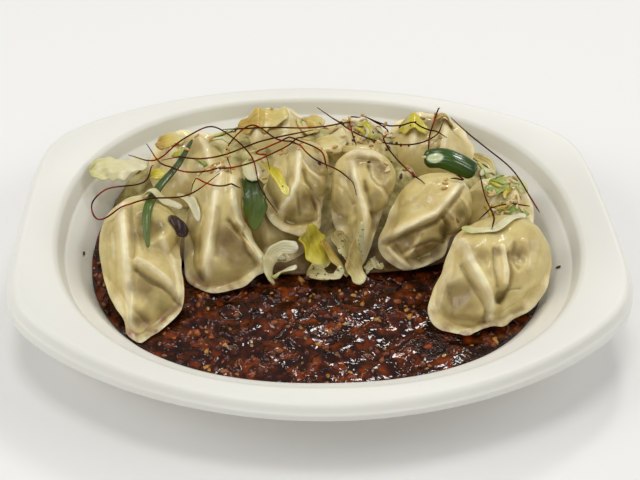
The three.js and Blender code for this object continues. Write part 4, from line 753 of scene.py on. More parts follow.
def find_contacts():
    """Flat contacts between dumplings that lie against each other: a normal and an offset each."""
    polar, around = np.meshgrid(np.arange(13) * math.pi / 12, np.arange(24) * TURN / 24)
    level = [np.sin(polar) * np.cos(around), np.sin(polar) * np.sin(around), np.cos(polar)]
    sphere = np.stack(level, axis=-1)
    clouds = [dumpling_points(dumpling, sphere.reshape(-1, 3), False)[0] for dumpling in DUMPLINGS]
    index = np.arange(TEST_DIRECTIONS)
    z = (index + 0.5) / TEST_DIRECTIONS
    golden = math.pi * (3 - math.sqrt(5)) * index
    spread = np.sqrt(1 - z * z)
    directions = np.stack([spread * np.cos(golden), spread * np.sin(golden), z], axis=1)
    near_ends = [(cloud @ directions.T).min(axis=0) for cloud in clouds]
    far_ends = [(cloud @ directions.T).max(axis=0) for cloud in clouds]
    contacts = [[] for _ in DUMPLINGS]
    for one in range(len(DUMPLINGS)):
        for other in range(one + 1, len(DUMPLINGS)):
            ahead = far_ends[one] - near_ends[other]
            behind = far_ends[other] - near_ends[one]
            depth = np.minimum(ahead, behind)
            best = int(np.argmin(depth))
            sign = 1 if ahead[best] < behind[best] else -1
            low = near_ends[other if sign > 0 else one][best]
            if depth[best] > -NEAR:
                meeting = sign * (low + depth[best] / 2)
                contacts[one].append((sign * directions[best], meeting))
                contacts[other].append((-sign * directions[best], -meeting))
    return contacts


def wobble(points, size, seed):
    """Smooth uneven values from about -1 to 1, with lumps of that size."""
    draw = np.random.default_rng(seed)
    total = np.zeros(len(points))
    for _ in range(9):
        direction = draw.normal(size=3)
        direction *= TURN / size / np.linalg.norm(direction) * draw.uniform(0.7, 1.4)
        total += np.sin(points @ direction + draw.uniform(0, TURN))
    return total / 3


CONTACTS = find_contacts()
FRONT_DUMPLINGS = 6
FINE_MESH = (256, 168)
PLAIN_MESH = (128, 84)
dumpling_pieces = []
for index, dumpling in enumerate(DUMPLINGS):
    mesh_size = FINE_MESH if index < FRONT_DUMPLINGS else PLAIN_MESH
    piece, directions = ball(f"dumpling_{index + 1}_dough", *mesh_size)
    points, dough_thickness, filling, crease_shade = dumpling_points(dumpling, directions, True)
    for normal, offset in CONTACTS[index]:
        along = points @ normal
        points += (pressed(along, offset - CLEARANCE) - along)[:, None] * normal
    outwards = points - points.mean(axis=0)
    outwards /= np.linalg.norm(outwards, axis=1)[:, None]
    uneven = 0.2 * wobble(points, 12, index) + 0.06 * wobble(points, 5, index + 50)
    points += (uneven - 0.3)[:, None] * outwards
    put_vertices(piece, points)
    put_attribute(piece, "dough", dough_thickness)
    put_attribute(piece, "filling", filling)
    put_attribute(piece, "crease_shade", crease_shade)
    finish_piece(piece, dough, [f"dumpling_{index + 1}"])
    dumpling_pieces.append(piece)


# The sauce.
def sauce_height(x, y):
    waves = np.sin(0.23 * x + 0.9) * np.cos(0.19 * y) + np.sin(0.37 * y - 0.21 * x)
    return SAUCE_TOP + SAUCE_RELIEF * 0.5 * waves


SAUCE_SIDES = 360
angles = TURN * np.arange(SAUCE_SIDES) / SAUCE_SIDES


def sauce_ring(size, height, share=1.0):
    radius = share * (oval_radius(size[0], size[1], OVAL_POWER, angles) - CLEARANCE)
    x, y = radius * np.cos(angles), radius * np.sin(angles)
    if height is None:
        place = np.stack([x, y, np.zeros(SAUCE_SIDES)], axis=1)
        lumps = 0.13 * wobble(place, 9, 3) + 0.06 * wobble(place, 4, 4)
        fade = min(1, (1 - share) * 30)
        return np.stack([x, y, sauce_height(x, y) + fade * (lumps - 0.2)], axis=1)
    return np.stack([x, y, np.full(SAUCE_SIDES, float(height))], axis=1)


rings = [sauce_ring(FLOOR, FLOOR[2] + CLEARANCE), sauce_ring(FILLET, FILLET[2])]
rings += [sauce_ring(WELL, None, share) for share in np.linspace(0.999, 0.01, 130)]
sauce = on_rings("chili_sauce", rings, (0, 0, FLOOR[2] + CLEARANCE), rings[-1].mean(axis=0))
finish_piece(sauce, sauce_oil, ["sauce"])

# The heap of shredded cabbage: its core.
HEAP_MIDDLE = np.array((0, 33))
HEAP_HALF_LENGTH = 100
HEAP_HALF_WIDTH = 51
HEAP_BASE = RESTING_HEIGHT + CLEARANCE
HEAP_FRONT = 6
HEAP_BACK = 29


def heap_height(x, y, share):
    lumps = 1.3 * np.sin(0.2 * x + 0.6) * np.cos(0.23 * y) + 0.9 * np.sin(0.41 * x - 0.3 * y)
    rise = HEAP_FRONT + (HEAP_BACK - HEAP_FRONT) * smooth_between(y, 0, 55)
    return HEAP_BASE + (rise + lumps) * (1 - share**3) ** 0.8


def heap_ring(share, height=None):
    radius = share * oval_radius(HEAP_HALF_LENGTH, HEAP_HALF_WIDTH, 2.3, angles)
    x, y = HEAP_MIDDLE[0] + radius * np.cos(angles), HEAP_MIDDLE[1] + radius * np.sin(angles)
    z = heap_height(x, y, share) - 2 if height is None else np.full(len(x), height)
    points = np.stack([x, y, z], axis=1)
    points[:, 2] += 0.5 * wobble(points, 9, 8)
    return keep_in_bowl(points)


rings = [heap_ring(0.96, HEAP_BASE)] + [heap_ring(share) for share in np.linspace(0.985, 0.02, 60)]
heap = on_rings("cabbage_heap_core", rings, (0, HEAP_MIDDLE[1], HEAP_BASE), rings[-1].mean(axis=0))
finish_piece(heap, heap_core, ["cabbage_heap"])


# What lies on top is laid over everything placed before it.
ABOVE_ALL = 200


class Ground:
    """Finds the top of the food at a place in plan."""

    def __init__(self):
        self.trees = []

    def add(self, piece):
        vertices = [tuple(v) for v in coordinates(piece) / MM]
        faces = [tuple(p.vertices) for p in piece.data.polygons]
        self.trees.append(BVHTree.FromPolygons(vertices, faces))

    def top(self, x, y):
        """The topmost place, the normal there and the number of the piece it is on, or none."""
        best = None
        for number, tree in enumerate(self.trees):
            place, normal, _, _ = tree.ray_cast(Vector((x, y, ABOVE_ALL)), Vector((0, 0, -1)))
            if place is not None and (best is None or place.z > best[0].z):
                best = (place, normal, number)
        return best


ground = Ground()
for piece in dumpling_pieces + [bowl, heap, sauce]:
    ground.add(piece)
BOWL_NUMBER = len(dumpling_pieces)
HEAP_NUMBER = BOWL_NUMBER + 1
SAUCE_NUMBER = BOWL_NUMBER + 2


def along_curve(path, steps):
    """Points and directions along a smooth curve through a path."""
    path = [np.array(p, dtype=float) for p in path]
    path = [2 * path[0] - path[1]] + path + [2 * path[-1] - path[-2]]
    spans = len(path) - 3
    points = []
    for step in range(steps + 1):
        place = spans * step / steps
        first = min(int(place), spans - 1)
        t = place - first
        p0, p1, p2, p3 = path[first : first + 4]
        d0, d1, d2 = (max(1e-4, np.linalg.norm(b - a)) ** 0.5 for a, b in ((p0, p1), (p1, p2), (p2, p3)))
        m1 = ((p1 - p0) / d0 - (p2 - p0) / (d0 + d1) + (p2 - p1) / d1) * d1
        m2 = ((p2 - p1) / d1 - (p3 - p1) / (d1 + d2) + (p3 - p2) / d2) * d1
        points.append(
            p1 + m1 * t + (-3 * p1 + 3 * p2 - 2 * m1 - m2) * t**2 + (2 * p1 - 2 * p2 + m1 + m2) * t**3
        )
    points = np.array(points)
    tangents = np.gradient(points, axis=0)
    return points, tangents / np.linalg.norm(tangents, axis=1)[:, None]


def sheet_rows(
    path, width, steps, across, taper=0.25, roll=0, cup=0, wave=0, ragged=0, seed=0, bluntness=30
):
    """Rows of points of a thin sheet: how its ends narrow, how it rolls about the path, and how far
    its edges curl, wave and fray."""
    middles, tangents = along_curve(path, steps)
    draw = np.random.default_rng(seed)
    bites = draw.uniform(0, TURN, 6)
    offsets = np.linspace(-1, 1, across + 1)
    rows = np.empty((steps + 1, across + 1, 3))
    for step, (middle, along) in enumerate(zip(middles, tangents)):
        share = step / steps
        side = np.cross((0, 0, 1), along)
        side /= np.linalg.norm(side)
        angle = math.radians(roll)
        side = side * math.cos(angle) + np.cross(along, side) * math.sin(angle)
        normal = np.cross(along, side)
        half_width = 0.5 * width * (1 - taper + taper * math.sin(math.pi * (0.06 + 0.88 * share)))
        half_width *= 0.15 + 0.85 * (1 - abs(2 * share - 1) ** bluntness) ** 0.5
        for column, offset in enumerate(offsets):
            bite = bites[0 if offset < 0 else 1]
            fray = 1 + ragged * math.sin(9 * share + bite) * math.sin(23 * share + bites[2])
            ripple = wave * math.sin(7 * share + 2.6 * offset + seed) * (0.4 + 0.6 * abs(offset))
            ripple += 0.35 * wave * math.sin(19 * share + 4 * offset + bites[3])
            rows[step, column] = middle + offset * half_width * fray * side
            rows[step, column] += (ripple + cup * (0.5 - offset * offset)) * normal
    return rows


# How far out beside a sheet the food is looked at, the steepest face (the upright share of its
# normal) that lifts a sheet by the full gap, and the rounds of lifting.
BESIDE = CLEARANCE + 0.1
STEEPEST_FACE = 0.45
LIFTING_ROUNDS = 30


def drape(rows, thickness, spacing=1.3):
    """Lifts a sheet's rows until it lies clear above everything below it."""
    rests = []
    for step in range(rows.shape[0] - 1):
        for column in range(rows.shape[1] - 1):
            corners = [(step, column), (step, column + 1), (step + 1, column), (step + 1, column + 1)]
            around = np.array([rows[c] for c in corners])
            width = max(0.05, np.linalg.norm(around[1] - around[0]))
            narrow = width < spacing and rows.shape[1] == 2
            length = np.linalg.norm(around[2] - around[0])
            ups = np.linspace(0, 1, max(2, math.ceil(length / spacing) + 1))
            overs = list(np.linspace(0, 1, max(2, math.ceil(width / spacing) + 1)))
            if column == 0:
                overs.append(-BESIDE / width)
            if column == rows.shape[1] - 2:
                overs.append(1 + BESIDE / width)
            for u in ups:
                for v in overs:
                    weights = np.array([(1 - u) * (1 - v), (1 - u) * v, u * (1 - v), u * v])
                    place = weights @ around
                    below = ground.top(place[0], place[1])
                    if below is not None:
                        held = 0.5 if narrow else min(1, max(0, v))
                        weights = np.array([(1 - u) * (1 - held), (1 - u) * held, u * (1 - held), u * held])
                        gap = (0.5 * thickness + 0.1) / max(STEEPEST_FACE, below[1].z)
                        rests.append((corners, weights, below[0].z + gap))
    for _ in range(LIFTING_ROUNDS):
        for corners, weights, height in rests:
            lift = height - sum(w * rows[c][2] for w, c in zip(weights, corners))
            if lift > 0:
                total = (weights**2).sum()
                for weight, corner in zip(weights, corners):
                    rows[corner][2] += lift * weight / total
    return rows


def lay_sheet(name, rows, thickness, material, nodes=()):
    """A thin leaf through rows of points, with real thickness and soft edges."""
    forget_selection()
    steps, across = rows.shape[0] - 1, rows.shape[1] - 1
    bpy.ops.mesh.primitive_grid_add(x_subdivisions=steps, y_subdivisions=across, size=1)
    piece = added(name)
    place = coordinates(piece)
    step = np.rint((place[:, 0] + 0.5) * steps).astype(int)
    column = np.rint((place[:, 1] + 0.5) * across).astype(int)
    put_vertices(piece, rows[step, column])
    wall = piece.modifiers.new("thickness", "SOLIDIFY")
    wall.thickness = thickness * MM
    wall.offset = 0
    wall.use_even_offset = False
    soft = piece.modifiers.new("soft_edges", "SUBSURF")
    soft.levels = soft.render_levels = 1
    bpy.ops.object.modifier_apply(modifier=wall.name)
    bpy.ops.object.modifier_apply(modifier=soft.name)
    bpy.ops.object.shade_smooth()
    finish_piece(piece, material, nodes)
    return piece


# Scallion and cabbage on top: node, material, path, width, thickness, and how each is bent.
LEAF = dict(taper=0.6, wave=0.8, ragged=0.28)
TORN = dict(taper=0.12, bluntness=80)
TOPPINGS = [
    ("scallion_blade", scallion_dark, [(-59, 41, 46), (-65, 25, 44), (-73, 8, 44), (-76, -8, 46),
     (-76, -17, 43), (-75, -25, 39)], 4.4, 0.8, dict(taper=0.8, cup=0.5)),
    ("scallion_curl", scallion_tube, [(49, 27, 45), (57, 27, 46), (65, 22, 46), (72, 17, 45)], 10, 1.5,
     dict(roll=40, cup=3)),
    ("scallion_leaf", scallion_dark, [(-32, 19, 43.5), (-30.5, 9, 42.5), (-29.5, 0, 38.5), (-30, -8, 32.5)],
     11, 0.9, dict(taper=0.9, roll=10, cup=0.3, wave=0.5, bluntness=60, ragged=0.2)),
    ("cabbage_leaf_10", cabbage_clear, [(-33, 27, 45), (-31, 19, 45), (-30, 12, 44.5)], 9, 0.8,
     dict(taper=0.5, cup=1, ragged=0.12)),
    ("cabbage_strip_1", cabbage_yellow, [(-25, 20, 49), (-20, 10, 49), (-15, -1, 47)], 4.4, 0.8,
     dict(roll=-15, ragged=0.15)),
    ("cabbage_strip_2", cabbage_pale, [(-65, 9, 40), (-59, 4, 40), (-54, -8, 38)], 3.2, 0.8,
     dict(ragged=0.1)),
    ("cabbage_strip_3", cabbage_pale, [(-80, 3, 44), (-70, 2, 42), (-62, 2, 38)], 5, 0.8, dict(cup=0.8,
     ragged=0.2)),
    ("cabbage_fold", cabbage_pale, [(-21.5, -24.5, 15), (-24, -18, 19), (-22, -13.5, 23.5),
     (-17, -12, 26.5), (-10.5, -13, 26)], 6.5, 0.9, dict(TORN, roll=50, ragged=0.15, wave=0.9)),
    ("cabbage_leaf_9", cabbage_clear, [(-22, -22.5, 17), (-17, -19.5, 18.5), (-11, -17.5, 19.5)], 9, 0.8,
     dict(taper=0.5, roll=-50, cup=0.8, ragged=0.15, wave=0.9)),
    ("cabbage_shred_1", cabbage_yellow, [(-6, -4.5, 28), (-4, -8.5, 25.5), (-1, -12, 21), (2, -16, 17)], 12,
     0.9, dict(TORN, cup=-1.2, ragged=0.3, wave=1.3)),
    ("cabbage_shred_2", cabbage_orange, [(-0.5, -9.5, 27.5), (4, -12.5, 23), (8.5, -16, 19),
     (11.5, -20.5, 15.5)], 5, 0.9, dict(TORN, roll=-20, ragged=0.3, wave=1.3)),
    ("cabbage_shred_3", cabbage_speckled, [(-7, -19, 16), (2, -20.5, 16), (10, -20.5, 16)], 4.5, 0.9,
     dict(TORN, ragged=0.12, wave=0.5)),
    ("cabbage_shred_4", cabbage_speckled, [(6, -5, 29), (10, -9.5, 25), (13.5, -13.5, 20.5),
     (15.5, -18, 17)], 8, 0.9, dict(TORN, cup=-0.8, ragged=0.3, wave=1.3)),
    ("cabbage_shred_5", cabbage_cream, [(11.5, -16, 19), (15, -19.5, 17), (18, -24.5, 15)], 8, 0.9,
     dict(TORN, roll=-10, cup=-0.6, ragged=0.15, wave=0.9)),
    # Painted shade: a nearly black sheet where the gap between the dumplings lies in shadow.
    ("chili_piece", gap_shade_sheet, [(-67, -7, 41), (-63, -9, 37), (-60, -12, 33)], 6, 0.8, dict(ragged=0.1,
     bluntness=80, taper=0, wave=0.8)),
    ("cabbage_leaf_1", cabbage_orange, [(-77, 44, 40), (-70, 46, 42), (-63, 47, 42)], 12, 0.8, dict(LEAF,
     cup=1.5)),
    ("cabbage_leaf_2", cabbage_yellow, [(-79, 25, 37), (-75, 26, 38), (-70, 27, 37)], 8, 0.8,
     dict(taper=0.6, cup=1, wave=0.6, ragged=0.28)),
    ("cabbage_leaf_3", cabbage_clear, [(-108, 35, 32), (-99, 36, 33), (-89, 36, 34), (-80, 35, 36)], 14,
     0.8, dict(taper=0.5, roll=10, cup=1.2, wave=1.8, ragged=0.3)),
    ("cabbage_leaf_4", cabbage_orange, [(-38, 56, 42), (-26, 58, 43), (-13, 57, 43)], 14, 0.8,
     dict(taper=0.6, cup=1.6, wave=0.8, ragged=0.25)),
    ("cabbage_leaf_5", cabbage_orange, [(-7, 62, 40), (-1, 64, 40), (5, 65, 38)], 11, 0.8, dict(LEAF,
     cup=1.2)),
    ("cabbage_leaf_6", cabbage_yellow, [(41, 57, 40), (47, 51, 42), (53, 46, 42)], 11, 0.8, dict(LEAF,
     cup=1.4)),
    ("cabbage_leaf_7", cabbage_orange, [(57, 54, 42), (63, 56, 42), (69, 57, 41)], 11, 0.8, dict(LEAF,
     cup=1.4)),
    ("cabbage_rib", cabbage_cream, [(-1, 41, 41), (6, 42, 42), (14, 42, 42)], 12, 2.2, dict(cup=1.5,
     roll=10, ragged=0.1, taper=0.15, bluntness=60)),
    ("cabbage_rib_2", cabbage_cream, [(11, 35, 44), (19, 36, 44.5), (27, 35, 44)], 6, 1.5, dict(cup=0.8,
     ragged=0.08, taper=0.15, bluntness=60)),
    ("cabbage_leaf_8", cabbage_green, [(76, 6, 40), (84, 16, 40), (92, 20, 37), (98, 17, 33)], 10, 0.8,
     dict(taper=0.6, cup=1.2, wave=1.2, ragged=0.2)),
    ("scallion_shred", scallion_light, [(82, -4, 38), (90, 2, 36), (96, 1, 33)], 3, 0.8, {}),
    ("cabbage_strip_4", cabbage_clear, [(60, -18, 43), (68, -22, 44), (75, -21, 44), (84, -13, 43),
     (92, -4, 38)], 4.6, 0.7, dict(roll=5, ragged=0.1)),
]
# The scallion curl is a cut tube with a hollow where its inside shows.
STEP_LENGTH = 1.6
STEP_WIDTH = 1.8
for number, (node, material, path, width, thickness, bends) in enumerate(TOPPINGS):
    length = sum(math.dist(a, b) for a, b in zip(path, path[1:]))
    steps, across = max(8, round(length / STEP_LENGTH)), max(3, round(width / STEP_WIDTH))
    rows = sheet_rows(path, width, steps, across, seed=number, **bends)
    if node == "scallion_curl":
        share = np.linspace(0, 1, steps + 1)[:, None]
        beside = np.linspace(0, 1, across + 1)[None, :]
        rows[:, :, 2] -= 2.2 * np.exp(-(((share - 0.22) / 0.17) ** 2) - ((beside - 0.52) / 0.25) ** 2)
    ground.add(lay_sheet(node + "_cut", drape(rows, thickness), thickness, material, [node]))

# Fine threads of dried chili, as points along each.
THREADS = [
    [(-77, 31, 38), (-80, 22, 36), (-98, 19, 34), (-103, 8, 35), (-96, -9, 40), (-77, -3, 47),
     (-59, -3, 49), (-45, 5, 55)],
    [(-90, 42, 36), (-76, 33, 40), (-64, 42, 45), (-51, 52, 45), (-40, 41, 47), (-31, 26, 47), (-27, 5, 46),
     (-20, -3, 39)],
    [(-81, 43, 42), (-71, 25, 42), (-53, 11, 51), (-34, 11, 55), (-16, 22, 56), (-1, 45, 47)],
    [(-73, 33, 40), (-47, 23, 50), (-26, 36, 49), (-2, 47, 47)],
    [(-45, 47, 47), (-23, 49, 47), (-3, 50, 46), (19, 54, 46)],
    [(-40, 6, 54), (-42, 30, 50), (-31, 48, 49), (-18, 32, 51), (-5, 15, 56), (8, 10, 51), (15, -2, 48)],
    [(-23, 13, 50), (-29, 23, 51), (-16, 25, 55), (0, 21, 55), (3, 15, 49)],
    [(-58, 1, 40), (-45, -1, 51), (-36, 2, 49)],
    [(1, 68, 45), (15, 47, 47), (31, 37, 47), (46, 36, 47), (57, 43, 47), (61, 51, 47)],
    [(18, 36, 46), (16, 46, 46), (17, 58, 45), (22, 60, 45)],
    [(22, 61, 45), (42, 47, 46), (62, 42, 46)],
    [(24, 58, 45), (34, 48, 46), (31, 38, 46), (40, 15, 48), (46, 4, 49)],
    [(61, 62, 47), (57, 52, 47), (53, 40, 45), (52, 33, 45)],
    [(65, 53, 48), (80, 39, 43), (92, 26, 39), (99, 9, 34), (102, 5, 31)],
    [(74, 17, 44), (74, 2, 43), (75, -13, 44), (72, -23, 45)],
    [(68, -15, 45), (82, -1, 41), (97, 6, 34)],
    [(58, 7, 50), (64, 7, 49), (62, 12, 48)],
]
THREAD_WIDTH = 0.72


def lay_thread(name, path, node):
    """A thread laid over the food: a curve with a round section, made a mesh."""
    length = sum(math.dist(a, b) for a, b in zip(path, path[1:]))
    rows = sheet_rows(path, THREAD_WIDTH, max(6, round(length / 3)), 1, taper=0, bluntness=1000)
    points = drape(rows, THREAD_WIDTH).mean(axis=1)
    for _ in range(4):
        taut = 0.5 * (points[:-2, 2] + points[2:, 2])
        points[1:-1, 2] = np.maximum(points[1:-1, 2], taut)
    forget_selection()
    curve = bpy.data.curves.new(name, "CURVE")
    curve.dimensions = "3D"
    curve.bevel_depth = 0.5 * THREAD_WIDTH * MM
    curve.bevel_resolution = 1
    curve.use_fill_caps = True
    spline = curve.splines.new("POLY")
    smooth, _ = along_curve(points, 2 * (len(points) - 1))
    spline.points.add(len(smooth) - 1)
    for place, (point, at) in enumerate(zip(spline.points, smooth)):
        point.co = (*(at * MM), 1)
        share = place / (len(smooth) - 1)
        point.radius = 0.45 + 0.55 * min(1, 8 * share, 8 * (1 - share))
    piece = bpy.data.objects.new(name, curve)
    bpy.context.collection.objects.link(piece)
    bpy.context.view_layer.objects.active = piece
    piece.select_set(True)
    bpy.ops.object.convert(target="MESH")
    piece = bpy.context.object
    bpy.ops.object.shade_smooth()
    finish_piece(piece, chili_thread, [node])
    return piece


for number, path in enumerate(THREADS):
    ground.add(lay_thread(f"chili_thread_{number + 1}_strand", path, f"chili_thread_{number + 1}"))


# Small things, each kind modelled once and scattered as one mesh.
def grain(length, width, thickness, point=0.0, finer=1, jagged=0.0):
    """Vertices and faces of one grain, narrower towards one end where it is pointed."""
    forget_selection()
    bpy.ops.mesh.primitive_ico_sphere_add(subdivisions=finer, radius=1)
    piece = added("grain")
    shape = coordinates(piece)
    narrowing = 1 - point * (0.5 + 0.5 * shape[:, 0])
    shape = shape * np.array((0.5 * length, 0.5 * width, 0.5 * thickness))
    shape[:, 1] *= narrowing
    shape *= 1 + jagged * np.random.default_rng(3).uniform(-1, 1, (len(shape), 1))
    faces = np.array([tuple(p.vertices) for p in piece.data.polygons])
    bpy.data.objects.remove(piece)
    return shape, faces


def scatter(name, shape_and_faces, places, material, draw, sizes=(0.8, 1.2)):
    """One mesh of many grains: each place is a point, a normal and how far the grain stands out."""
    shape, faces = shape_and_faces
    vertices, polygons, tones = [], [], []
    for number, (point, normal, out) in enumerate(places):
        up = Vector(normal).normalized()
        turn = Matrix.Rotation(draw.uniform(0, TURN), 3, up) @ up.to_track_quat("Z", "Y").to_matrix()
        size = draw.uniform(*sizes)
        vertices.append(size * shape @ np.array(turn).T + np.array(point) + out * np.array(up))
        polygons.append(faces + number * len(shape))
        tones.append(np.full(len(shape), draw.uniform()))
    mesh = bpy.data.meshes.new(name)
    mesh.from_pydata((np.concatenate(vertices) * MM).tolist(), [], np.concatenate(polygons).tolist())
    piece = bpy.data.objects.new(name, mesh)
    bpy.context.collection.objects.link(piece)
    forget_selection()
    piece.select_set(True)
    bpy.context.view_layer.objects.active = piece
    bpy.ops.object.shade_smooth()
    put_attribute(piece, "tone", np.concatenate(tones))
    return finish_piece(piece, material)


def places_in(draw, middle, reach, count, only=None, not_on=(), tries=60):
    """Random places on top of the food within reach of a point in plan."""
    found = []
    for _ in range(count * tries):
        if len(found) == count:
            break
        angle, distance = draw.uniform(0, TURN), math.sqrt(draw.uniform())
        x = middle[0] + reach[0] * distance * math.cos(angle)
        y = middle[1] + reach[1] * distance * math.sin(angle)
        below = ground.top(x, y)
        if below is None or below[2] == BOWL_NUMBER or below[2] in not_on:
            continue
        if only is not None and below[2] != only:
            continue
        if below[1].z > 0.3:
            found.append((tuple(below[0]), tuple(below[1])))
    return found


draw = np.random.default_rng(20)
spots = places_in(draw, (0, -20), (106, 62), 1900, only=SAUCE_NUMBER, tries=20)
spot_places = np.array([p for p, _ in spots])
crowding = wobble(spot_places, 24, 61) + wobble(spot_places, 11, 62)
spots = [spot for spot, crowd in zip(spots, crowding) if crowd > draw.uniform(-0.9, 3)]
cut = int(0.6 * len(spots))
garlic_spots = [(p, n, draw.uniform(-1.0, -0.1)) for p, n in spots[:cut]]
flake_spots = [(p, n, draw.uniform(-0.6, -0.15)) for p, n in spots[cut:-60]]
seed_spots = [(p, n, draw.uniform(-0.35, 0.1)) for p, n in spots[-60:]]
crumb = grain(3.4, 2.5, 2.2, jagged=0.35)
scatter("garlic_bits", crumb, garlic_spots, garlic, draw, (0.4, 1.5))
crumb = grain(4, 2.4, 0.8, jagged=0.4)
scatter("chili_flakes", crumb, flake_spots, flake, draw, (0.4, 1.4))
crumb = grain(2.8, 2.2, 0.8, 0.4, 2)
scatter("chili_seeds", crumb, seed_spots, oily_seed, draw, (0.7, 1))

# Sesame in patches where it fell, and a few darker grains: middle in plan, reach and how many.
SESAME_PATCHES = [
    ((-47, 19), (11, 10), 30),
    ((33, 13), (7, 7), 12),
    ((24, 54), (16, 12), 34),
    ((22, 38), (14, 8), 14),
    ((84, 3), (9, 9), 26),
    ((92, 17), (6, 6), 8),
    ((-8, 30), (30, 14), 16),
    ((60, 0), (12, 10), 4),
    ((-90, 25), (5, 4), 2),
    ((0, 48), (80, 28), 40),
]
SEED_STANDS_OUT = 0.35
sesame_places = []
for middle, reach, count in SESAME_PATCHES:
    sesame_places += places_in(draw, middle, reach, count, not_on=(SAUCE_NUMBER,))
seeds = [(p, n, SEED_STANDS_OUT) for p, n in sesame_places]
scatter("sesame_seeds", grain(3.3, 2.1, 1.1, 0.55, 2), seeds, sesame, draw, (0.85, 1.1))
DARK_SEEDS = [
    (8, 48), (12, 51), (40, 31), (37, 36), (46, 33), (27, 45), (35, 46), (34, 36), (-107.5, -6), (107.5, -20),
]
dark_places = [ground.top(x, y)[:2] for x, y in DARK_SEEDS]
seeds = [(tuple(p), tuple(n), SEED_STANDS_OUT) for p, n in dark_places]
scatter("dark_seeds", grain(3.2, 2, 1.1, 0.5, 2), seeds, dark_seed, draw, (0.85, 1.05))
red_places = places_in(draw, (30, 52), (22, 14), 26, not_on=(SAUCE_NUMBER,))
red_places += places_in(draw, (0, 0), (95, 40), 8, not_on=(SAUCE_NUMBER,))
red_places = [(p, n, 0.2) for p, n in red_places]
scatter("loose_chili_flakes", grain(2.4, 1.5, 0.5), red_places, flake, draw, (0.4, 1.1))

# Shreds of cabbage over the heap wherever it shows, and fine ones where they are heaped on top. Each
# follows what it lies on, down over the heap's front edge as well.
draw = np.random.default_rng(31)
SHRED_KINDS = (cabbage_pale, cabbage_cream, cabbage_yellow, cabbage_clear, cabbage_green)
SHRED_THICKNESS = 0.7
SHRED_SPACING = 2.5
LARGEST_STEP = 3.2
shreds = []


def strew(middle, reach, count, only, lengths, widths, kinds, steepest):
    """Shreds at random about a point in plan, laid close over the food. One that would have to climb
    more than the steepest step, in millimetres from row to row, is left out."""
    for point, normal in places_in(draw, middle, reach, count, only=only):
        heading = draw.uniform(0, TURN)
        length = draw.uniform(*lengths)
        bend = draw.uniform(-0.3, 0.3) * length
        along = np.array((math.cos(heading), math.sin(heading), 0))
        beside = np.array((-along[1], along[0], 0))
        path = np.array(point) + np.array([-0.5 * length * along, bend * beside, 0.5 * length * along])
        path = keep_in_bowl(path)
        bends = dict(taper=0.5, roll=draw.uniform(-20, 20), cup=draw.uniform(-0.8, 1), wave=0.5, ragged=0.2)
        width = draw.uniform(*widths)
        rows = sheet_rows(path, width, 8, 3 if width > 2 else 2, seed=int(draw.integers(1000)), **bends)
        kind = int(draw.choice(kinds))
        below = [[ground.top(*corner[:2]) for corner in row] for row in rows]
        if any(place is None for row in below for place in row):
            continue
        heights = np.array([[place[0].z for place in row] for row in below])
        if max(np.abs(np.diff(heights, axis=axis)).max() for axis in (0, 1)) > steepest:
            continue
        for _ in range(2):
            heights[1:-1] = 0.25 * heights[:-2] + 0.5 * heights[1:-1] + 0.25 * heights[2:]
        rows[:, :, 2] += heights - point[2] + draw.uniform(0.4, 1.2)
        drape(rows, SHRED_THICKNESS, SHRED_SPACING)
        if np.abs(np.diff(rows[:, :, 2], axis=0)).max() > min(steepest, LARGEST_STEP):
            continue
        shreds.append((kind, rows))


# Middle in plan, reach, how many, on which piece alone, lengths, widths, kinds and steepest step: all
# over the heap, its left end, its front edge, fine green ones on the right, the middle and the left,
# and the front edge at the right.
STREWN = [
    (tuple(HEAP_MIDDLE), (98, 53), 230, HEAP_NUMBER, (9, 20), (3, 6.5), (0, 1, 2, 3, 3, 4), 5),
    ((-88, 20), (16, 14), 30, HEAP_NUMBER, (9, 16), (5, 9), (3, 3, 0), 4),
    ((0, -13), (22, 8), 70, HEAP_NUMBER, (4, 8), (1.8, 3.4), (1, 1, 3, 0), 7),
    ((86, 6), (13, 14), 55, None, (5, 11), (1.1, 2), (4, 4, 2, 3, 0), 2),
    ((27, 47), (14, 8), 22, None, (6, 12), (1.2, 2.2), (4, 2, 3), 3),
    ((-66, 30), (12, 8), 18, None, (6, 12), (1.4, 2.6), (4, 2, 3), 3),
    ((34, -10), (10, 7), 40, HEAP_NUMBER, (4, 9), (1.6, 3), (1, 3, 0), 7),
]
for patch in STREWN:
    strew(*patch)
for kind, material in enumerate(SHRED_KINDS):
    chosen = [rows for number, rows in shreds if number == kind]
    parts = [lay_sheet("shred", rows, SHRED_THICKNESS, material) for rows in chosen]
    forget_selection()
    for part in parts:
        part.select_set(True)
    bpy.context.view_layer.objects.active = parts[0]
    bpy.ops.object.join()
    added(f"loose_cabbage_shreds_{kind + 1}")

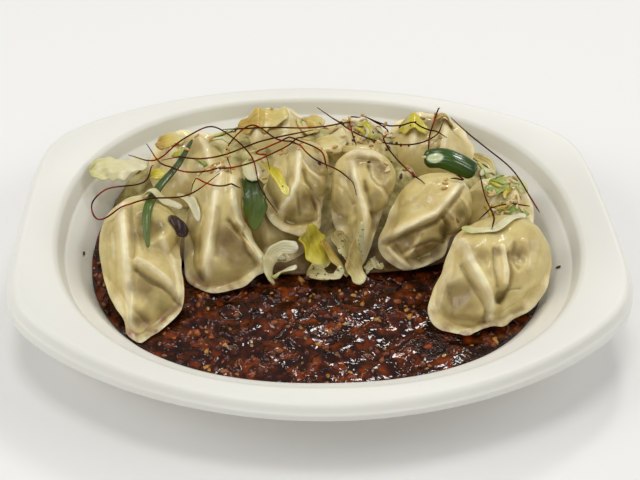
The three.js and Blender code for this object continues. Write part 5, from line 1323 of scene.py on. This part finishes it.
# Floor, soft studio light and the camera.
forget_selection()
bpy.ops.mesh.primitive_plane_add(size=6, location=(0, 0, -0.0002))
floor = added("pale_floor")
paper, shader = new_material("pale_paper", 0.7)
put_finish(paper, shader, "#f4f3f0")
floor.data.materials.append(paper)

world = bpy.data.worlds.new("soft_room")
bpy.context.scene.world = world
bpy.context.scene.view_settings.view_transform = "Standard"
world.use_nodes = True
world.node_tree.nodes["Background"].inputs["Color"].default_value = linear("#f6f8fc")
world.node_tree.nodes["Background"].inputs["Strength"].default_value = 0.35


def soft_light(name, place, size, power, code):
    light = bpy.data.lights.new(name, "AREA")
    light.shape = "RECTANGLE"
    light.size, light.size_y = size
    light.energy = power
    light.color = linear(code)[:3]
    lamp = bpy.data.objects.new(name, light)
    bpy.context.collection.objects.link(lamp)
    lamp.location = place
    lamp.rotation_euler = (Vector((0, 0, 0.03)) - Vector(place)).to_track_quat("-Z", "Y").to_euler()


soft_light("overhead_softbox", (-0.08, 0.1, 1.2), (0.3, 0.3), 2.9, "#fffefa")
soft_light("back_softbox", (0.31, 1.0, 1.2), (0.22, 0.22), 4.2, "#fffefa")
soft_light("front_fill", (0.3, -1.1, 0.75), (1.2, 0.7), 1.5, "#ffffff")
soft_light("left_fill", (-1.1, -0.1, 0.8), (0.7, 0.9), 6.0, "#ffffff")
soft_light("right_fill", (1.1, 0.1, 0.8), (0.7, 0.9), 4.6, "#ffffff")

camera_data = bpy.data.cameras.new("camera")
camera = bpy.data.objects.new("camera", camera_data)
bpy.context.collection.objects.link(camera)
# The view: 43 degrees above the table, from the front and a little to the left, rolled by 2.8 degrees.
right = Vector((0.99824, -0.04785, 0.03512))
up = Vector((0.00743, 0.68780, 0.72586))
back = Vector((-0.05889, -0.72432, 0.68695))
turn = Matrix((right, up, back)).transposed().to_4x4()
camera.matrix_world = Matrix.Translation(Vector((-0.02626, -0.32382, 0.32620))) @ turn
camera_data.sensor_width = 36
camera_data.lens = 54.38
bpy.context.scene.camera = camera
